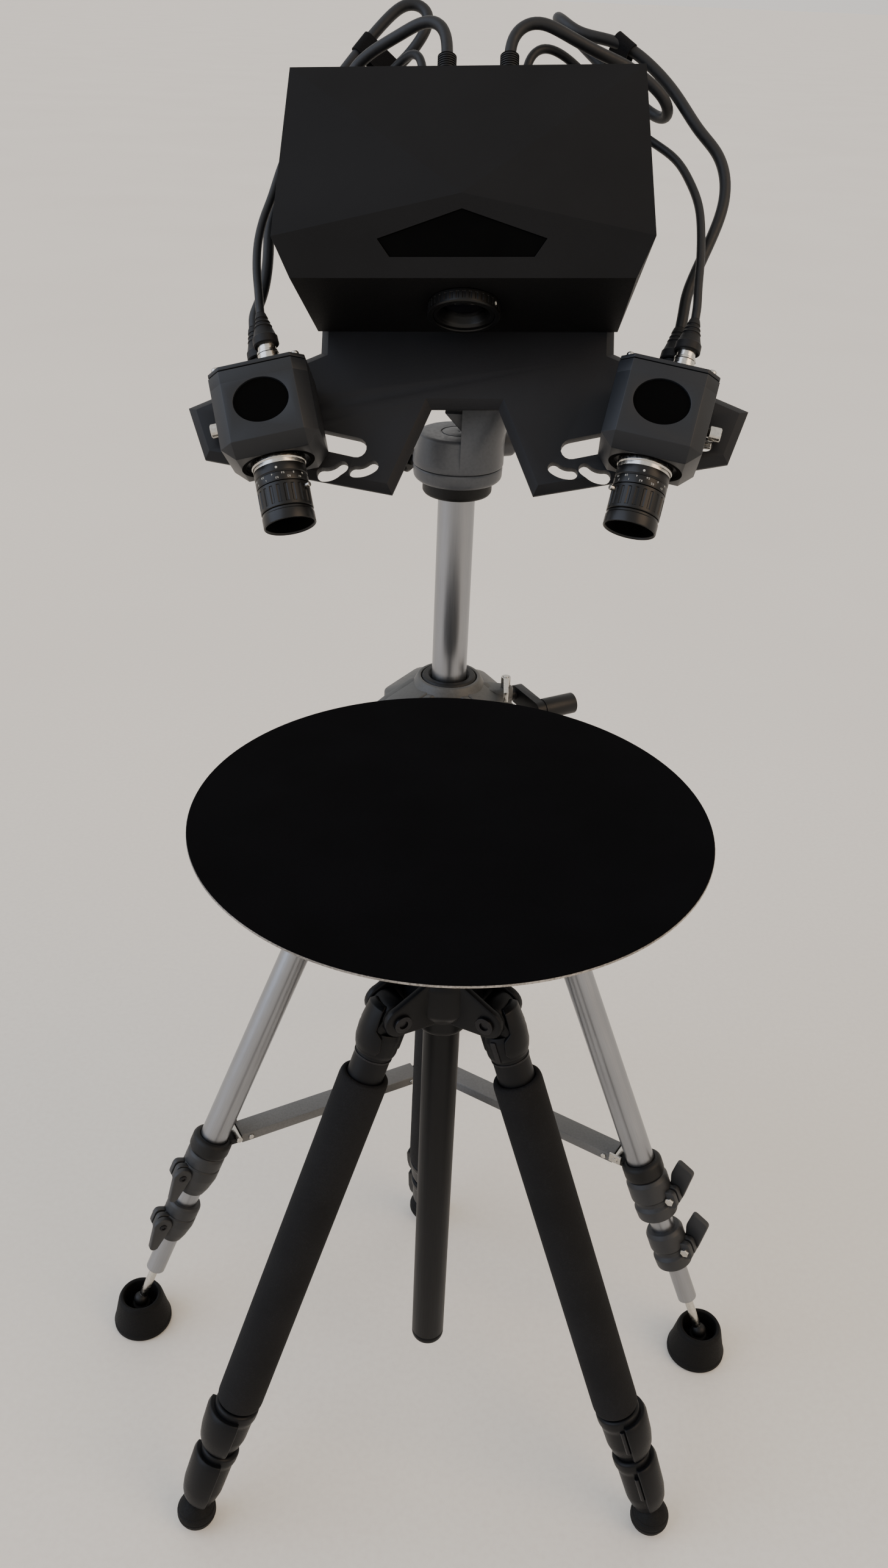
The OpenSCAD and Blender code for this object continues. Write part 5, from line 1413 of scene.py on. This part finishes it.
@dataclass
class ScannerLeg:
    """A silver leg with two extensions; lengths run down the leg from its hinge."""

    key: str
    stand: ScannerStand
    tube_r: float = 13.0
    tube: Point = (12.0, 466.0)
    collar_r: float = 19.0
    collar: Point = (431.0, 448.0)
    clamp_r: float = 18.0
    clamp: Point = (448.0, 493.0)
    mid_r: float = 11.0
    mid: Point = (180.0, 545.0)
    mid_clamp_r: float = 16.0
    mid_clamp: Point = (508.0, 551.0)
    low_r: float = 9.0
    low: Point = (330.0, 593.0)
    rod_end: float = 634.0
    bell_r: Point = (27.5, 20.5)
    bell_h: float = 37.0
    bell_at: float = 315.0
    lever_turn: tuple[float, float, float] = (0.0, 0.0, 145.0)
    out: Vector = field(init=False)
    at: Matrix = field(init=False)

    def build(self) -> None:
        """Make the leg's three lengths, its collars, clamps and foot."""
        down = axis(f"leg_{self.key}_middle_slide")
        self.out = Vector((down.x, down.y, 0)).normalized()
        origin = self.stand.at.translation + self.out * self.stand.pivot_r * MM + UP * self.stand.pivot_h * MM
        self.at = frame_at(origin, -down, self.out)
        self._upper()
        self._middle()
        self._lower()

    def _clamp(self, leg: Solid, s0: float, s1: float, r: float, bore: float) -> None:
        """A clamp with its split lugs, bolt and lever.

        Args:
            leg: the piece it goes on.
            s0: its upper end down the leg.
            s1: its lower end down the leg.
            r: its radius.
            bore: the radius of the tube below it.
        """
        middle = (s0 + s1) / 2 + 1
        barrel = [(bore + 1.8, -s1), (r - 2.5, 8 - s1), (r, 20 - s1), (r, -s0 - 15), (r - 0.9, -s0 - 14.4),
                  (r - 0.9, -s0 - 13.2), (r, -s0 - 12.6), (r, -s0 - 3), (r - 1.5, -s0)]
        if self.key == "c":
            barrel = [(bore + 3.5, -s1), (r + 1.2, 3 - s1), (r + 1.8, 14 - s1), (r - 1.2, 17 - s1),
                      (r - 1.2, 21 - s1), (r + 1.8, 24 - s1), (r + 1.8, -s0 - 4), (r - 0.5, -s0)]
        leg.turn([(bore + 0.15, -s1), *barrel, (bore + 0.15, -s0)], CLAMP, sides=56, ring=True, ease=0.9)
        lug = soften(box(bore + 1, r + 9, -middle - 9, -middle + 9), 5, closed=True)
        for y0 in (1.0, -6.5):
            leg.slab(lug, y0, y0 + 5.5, CLAMP, UPRIGHT, 0.8)
        bolt = shift(r + 3.5, 0, -middle)
        leg.turn([(0, -9.5), (4.2, -9.5), (4.2, -6), (0, -6)], NICKEL, bolt @ spin(-90, "X"), 6, ease=0.4)
        drop = arc(9.0, -25, 205, 14) + arc(4.6, 205, 335, 7, (0, -24))
        if self.key == "c":
            drop = soften([(-8, 7), (8, 7), (8, -7), (11, -16), (10, -35), (-8, -30), (-8, -9)], 4,
                          closed=True)
        turned = spin(self.lever_turn["abc".index(self.key)])
        leg.slab(drop, -13.5, -7.2, CLAMP, bolt @ UPRIGHT @ turned, 1.6)
        leg.screw(3.4, 1.2, OXIDE, bolt @ shift(0, 13.4, 0) @ spin(-90, "X"))

    def _upper(self) -> None:
        """The upper tube with its knuckle, the brace collar and the upper clamp."""
        tube = Solid()
        tube.rod(self.tube_r, -self.tube[1], -self.tube[0], TUBE, STAY, 0.5, 56)
        knuckle = [*arc(12, 0, 180, 13), (-13.5, -10), (-13.5, -34), (13.5, -34), (13.5, -10)]
        tube.slab(knuckle, -11.8, 11.8, CLAMP, UPRIGHT, 2.5)
        tube.turn([(self.tube_r + 0.1, -46), (14.6, -46), (15.4, -30), (15.4, -26), (self.tube_r + 0.1, -26)],
                  CLAMP, ring=True, ease=1.2)
        tube.build(f"leg_tube_{self.key}", "scanner_stand", self.at, ("leg_tubes",))
        collar = Solid()
        s0, s1 = self.collar
        r = self.collar_r
        collar.turn([(self.tube_r + 0.1, -s1 + 0.3), (r - 1.6, -s1 + 0.3), (r, -s1 + 3), (r, -s0 - 3),
                     (r - 2.2, -s0), (self.tube_r + 0.1, -s0)], COLLAR, sides=56, ring=True, ease=1.6)
        level = self.at.inverted() @ frame_at(self.at.translation, UP, self.out)
        hinge = shift(0, 0, -(s0 + s1) / 2) @ level
        collar.slab(soften(box(-42, -14, -8, 8), 4, closed=True), -4.2, 2.2, COLLAR, hinge, 0.8)
        collar.rod(3, -13, 13, NICKEL, hinge @ shift(-24, 0, 3.5) @ spin(90, "X"), 0.8, 24)
        collar.slab(soften(box(-30, -18, -12.4, -10.6), 0.8, closed=True), 0.5, 10, NICKEL, hinge, 0.3)
        collar.build(f"leg_collar_{self.key}", "scanner_stand", self.at, ("leg_collars",))
        clamp = Solid()
        self._clamp(clamp, *self.clamp, self.clamp_r, self.mid_r)
        clamp.build(f"leg_clamp_{self.key}", "scanner_stand", self.at, ("leg_clamps",))

    def _middle(self) -> None:
        """The middle tube and its clamp."""
        tube = Solid()
        tube.rod(self.mid_r, -self.mid[1], -self.mid[0], TUBE, STAY, 0.5, 48)
        self._clamp(tube, *self.mid_clamp, self.mid_clamp_r, self.low_r)
        tube.build(f"leg_middle_{self.key}", f"leg_mid_{self.key}", self.at, (f"leg_mid_{self.key}",))

    def _lower(self) -> None:
        """The lower tube, the rod with its ball and the hollow bell foot."""
        foot = Solid()
        foot.rod(self.low_r, -self.low[1], -self.low[0], TUBE, STAY, 0.8, 40)
        foot.rod(4, -self.rod_end, -self.low[1] + 2, NICKEL, STAY, 0.5, 24)
        spot = self.stand.at.translation + self.out * self.bell_at * MM
        place = in_mm(self.at.inverted() @ Matrix.Translation(spot))
        wide, narrow = self.bell_r
        h = self.bell_h
        foot.turn([(0, 0), (wide - 1.5, 0), (wide, 1.8), (wide, 6), (wide - 0.8, 7), (wide - 1.4, 10),
                   (narrow + 0.8, h - 4), (narrow - 1.2, h), (17.2, h), (16.2, h - 1.5), (15.4, 14), (14, 12),
                   (0, 12)], RUBBER, place, 64, ease=0.9)
        foot.turn([(0, 11.5), (10, 11.5), (10, 18), (8.5, 25.5), (0, 25.5)], RUBBER, place, 40, ease=1.5)
        ball = [(7 * math.cos(a), 30 + 7 * math.sin(a)) for a in
                (math.pi * (k / 14 - 0.5) for k in range(15))]
        foot.turn(ball, COLLAR, place, 32)
        foot.build(f"leg_lower_{self.key}", f"leg_foot_{self.key}", self.at, (f"leg_foot_{self.key}",))


@dataclass
class Turntable:
    """The disc and the drive under it."""

    disc_r: float = 180.0
    disc: Point = (647.0, 653.0)
    hub_r: float = 25.0
    drive_r: float = 75.0
    drive: Point = (600.7, 642.7)

    def build(self) -> None:
        """Make the disc and the drive housing."""
        at = floor_under("turntable_spin")
        low, top = self.disc
        r = self.disc_r
        disc = Solid()
        disc.turn([(0, top - 0.9), (r - 0.5, top - 0.9), (r - 0.3, top - 0.5), (r - 0.9, top), (0, top)],
                  FLOCK, sides=160)
        disc.turn([(0, top - 2.7), (r - 0.6, top - 2.7), (r, top - 2.1), (r, top - 0.85), (0, top - 0.85)],
                  EDGE, sides=160, ease=0.3)
        disc.turn([(0, low), (r - 14, low), (r - 4, top - 2.6), (0, top - 2.6)], DRIVE, sides=160, ease=0.8)
        disc.rod(self.hub_r, low - 4, low + 0.1, DRIVE, STAY, 0.8, 48)
        disc.rod(6, low - 22, low - 3, NICKEL)
        disc.build("turntable_board", "turntable", at, ("turntable_disc",))
        drive = Solid()
        low, top = self.drive
        r = self.drive_r
        drive.turn([(8, low), (r - 3, low), (r, low + 4), (r, low + 14), (r - 0.8, low + 14.4),
                    (r - 0.8, low + 15.2), (r, low + 15.6), (r, top - 4), (r - 5, top), (8, top)], DRIVE,
                   sides=96, ring=True, ease=1.5)
        for k in range(4):
            drive.screw(3, 1.2, OXIDE, spin(45 + 90 * k) @ shift(60, 0, top))
        drive.build("turntable_drive_housing", "table_column", at, ("turntable_drive",))


@dataclass
class TurntableStand:
    """The black tripod under the turntable."""

    post_r: float = 14.0
    post: Point = (104.0, 595.7)
    flange_r: float = 75.0
    shoulder_r: float = 30.0
    shoulder: Point = (466.0, 528.0)
    flare: float = 10.9
    ear_in: float = 11.4
    ear_out: float = 18.0
    pivot_r: float = 45.0
    pivot_h: float = 500.0
    at: Matrix = field(init=False)

    def build(self) -> None:
        """Make the column, the shoulder, the collar and the three legs."""
        self.at = floor_under("turntable_spin")
        self._post()
        self._shoulder()
        recast_piece("table_collar", "table_collar_moulded", "table_collar", JOINT, 1.2)
        for k in "abc":
            TurntableLeg(k, self).build()

    def _post(self) -> None:
        """The lacquered column with a cap on its lower end and a flange on top."""
        post = Solid()
        low, top = self.post
        r = self.post_r
        post.rod(r, low + 9, top, STAND, STAY, 0.5, 56)
        post.turn([(0, low), (r - 3, low), (r, low + 3), (r, low + 8.6), (0, low + 8.6)], JOINT, ease=2.0)
        post.turn([(0, top), (self.flange_r, top), (self.flange_r, top + 4.8), (0, top + 4.8)], DRIVE,
                  sides=96, ease=1.0)
        deep = self.flare
        post.turn([(r, top - deep), (r + 3, top - deep), (r + 6, top - 0.4 * deep), (r + 16, top + 0.2),
                   (r, top + 0.2)], JOINT, ring=True, ease=min(2.0, 0.2 * deep))
        post.build("table_column_lacquered", "table_column", self.at, ("table_column",))

    def _shoulder(self) -> None:
        """The shoulder with rounded ears and their bolts."""
        body = Solid()
        low, top = self.shoulder
        r = self.shoulder_r
        body.turn([(self.post_r + 0.6, low + 5), (19, low + 5), (20, low + 8), (20, low + 19),
                   (r - 4, low + 24), (r, low + 30), (r, top - 6), (r - 4, top), (self.post_r + 0.6, top)],
                  JOINT, sides=64, ring=True, ease=2.0)
        ear = [(16, low + 20), *arc(13, -100, 75, 13, (self.pivot_r, self.pivot_h)), (24, top - 2),
               (16, top - 2)]
        for k in "abc":
            reach = pivot(f"table_leg_{k}_fold") - self.at.translation
            turned = spin(math.degrees(math.atan2(reach.y, reach.x)))
            for y0 in (self.ear_in, -self.ear_out):
                body.slab(ear, y0, y0 + self.ear_out - self.ear_in, JOINT, turned @ UPRIGHT, 2.2)
            for way in (-1, 1):
                body.screw(7, 2.6, OXIDE, turned @ shift(self.pivot_r, way * self.ear_out, self.pivot_h)
                           @ spin(-90 * way, "X"))
        body.build("table_shoulder_moulded", "table_stand", self.at, ("table_shoulder",))


@dataclass
class TurntableLeg:
    """A black leg with a foam grip and an extension; lengths run down the leg from its hinge."""

    key: str
    stand: TurntableStand
    tube_r: float = 14.0
    tube: Point = (22.0, 414.0)
    grip_r: float = 19.0
    grip: Point = (58.0, 388.0)
    lock_r: float = 18.5
    lock: Point = (390.0, 434.0)
    mid_r: float = 12.0
    mid: Point = (190.0, 462.0)
    low_lock_r: float = 16.0
    low_lock: Point = (440.0, 496.0)
    low_r: float = 10.0
    ball_r: float = 16.5
    ball_at: float = 516.0
    at: Matrix = field(init=False)

    def build(self) -> None:
        """Make the leg, its grip, its locks and its foot."""
        down = axis(f"table_leg_{self.key}_extend")
        self.at = frame_at(pivot(f"table_leg_{self.key}_fold"), -down,
                           Vector((down.x, down.y, 0)).normalized())
        self._upper()
        self._grip()
        self._lower()

    def _lock(self, leg: Solid, s0: float, s1: float, r: float, bore: float) -> None:
        """A flip lock: a collar with a flared mouth and a curved lever.

        Args:
            leg: the piece it goes on.
            s0: its upper end down the leg.
            s1: its lower end down the leg.
            r: its radius.
            bore: the radius of the tube below it.
        """
        leg.turn([(bore + 0.15, -s1), (bore + 2.2, -s1), (r - 2, 10 - s1), (r - 1.5, -s0 - 14), (r, -s0 - 9),
                  (r, -s0 - 1.5), (r - 2, -s0), (bore + 0.15, -s0)], JOINT, sides=56, ring=True, ease=2.0)
        rings = []
        for s, deep in ((s0 + 6, 4.6), (s0 + 11, 6.0), (s1 - 14, 5.2), (s1 - 4, 3.6), (s1 + 1, 1.6)):
            inner = arc(r - 2.5, -55, 75, 12)
            outer = arc(r + deep - 1.0, 70, -50, 12)
            rings.append([(x, y, -s) for x, y in inner + outer])
        leg.loft(rings, JOINT, STAY, 1.0)
        leg.rod(2.2, -12, 12, OXIDE, spin(-58) @ shift(r - 0.5, 0, -(s0 + s1) / 2), 0.5, 16)

    def _upper(self) -> None:
        """The knuckle with its angle tab, the upper tube and the first lock."""
        leg = Solid()
        knuckle = [*arc(12, -20, 200, 15), (-14, -14), (-14, -30), (14, -30), (14, -14)]
        leg.slab(knuckle, -11, 11, JOINT, UPRIGHT, 2.5)
        leg.turn([(13.5, -36), (14.9, -36), (15.9, -33), (15.9, -19), (14.5, -15), (13.5, -14.5)], JOINT,
                 sides=56, ring=True, ease=1.2)
        leg.slab(soften(box(-2.2, 2.2, -35, -17), 1, closed=True), 14.2, 16.6, OXIDE, UPRIGHT, 0.3)
        tab = []
        for z, inner, outer, half in ((7, 11.4, 13.6, 36), (4, 12.2, 17, 39), (-12, 12.2, 18.2, 40),
                                      (-17, 13.4, 18.4, 60), (-27, 14, 17.8, 66), (-33, 14.2, 16.2, 58)):
            loop = arc(inner, -half, half, 16) + arc(outer, half - 3, 3 - half, 16)
            tab.append([(x, y, z) for x, y in loop])
        leg.loft(tab, JOINT, STAY, 0.8)
        leg.turn([(13.8, -40), (14.6, -40), (14.6, -38.4), (13.8, -38.4)], OXIDE, sides=56, ring=True,
                 ease=0.3)
        leg.rod(self.tube_r, -self.tube[1], -self.tube[0] - 6, STAND, STAY, 0.5, 56)
        self._lock(leg, *self.lock, self.lock_r, self.mid_r)
        leg.build(f"table_leg_upper_{self.key}", f"table_leg_{self.key}", self.at, (f"table_leg_{self.key}",))

    def _grip(self) -> None:
        """The foam sleeve."""
        sleeve = Solid()
        s0, s1 = self.grip
        r = self.grip_r
        sleeve.turn([(self.tube_r + 0.1, -s1), (r - 1, -s1), (r, 4 - s1), (r, -s0 - 4), (r - 1, -s0),
                     (self.tube_r + 0.1, -s0)], FOAM, sides=64, ring=True, ease=2.2)
        piece = sleeve.build(f"table_grip_sleeve_{self.key}", f"table_leg_{self.key}", self.at,
                             (f"table_grip_{self.key}",))

    def _lower(self) -> None:
        """The extension, the second lock and the ridged ball foot."""
        leg = Solid()
        leg.rod(self.mid_r, -self.mid[1], -self.mid[0], STAND, STAY, 0.5, 48)
        self._lock(leg, *self.low_lock, self.low_lock_r, self.low_r)
        leg.rod(self.low_r, -self.ball_at, -self.low_lock[1] + 4, STAND, STAY, 0.5, 40)
        foot = frame_at(self.at.translation, UP, ACROSS)
        place = shift(0, 0, -self.ball_at) @ (self.at.inverted() @ foot)
        ball = []
        for k in range(33):
            a = math.pi * (k / 32 - 0.5)
            r = self.ball_r - (0.7 if k in (12, 16, 20) else 0.0)
            ball.append((r * math.cos(a), r * math.sin(a)))
        leg.turn(ball, RUBBER, place, 56)
        leg.build(f"table_leg_lower_{self.key}", f"table_foot_{self.key}", self.at,
                  (f"table_foot_{self.key}",))


def main() -> None:
    """Set the studio and build every piece."""
    logging.basicConfig(level=logging.INFO)
    studio = Studio()
    studio.camera()
    for piece in (*LEADS, *STRAPS):
        piece.build()
    ScanHead().build()
    for side in Side:
        CameraUnit(side).build()
    TripodHead().build()
    ScannerStand().build()
    Turntable().build()
    TurntableStand().build()
    studio.build()


if __name__ == "__main__":
    main()
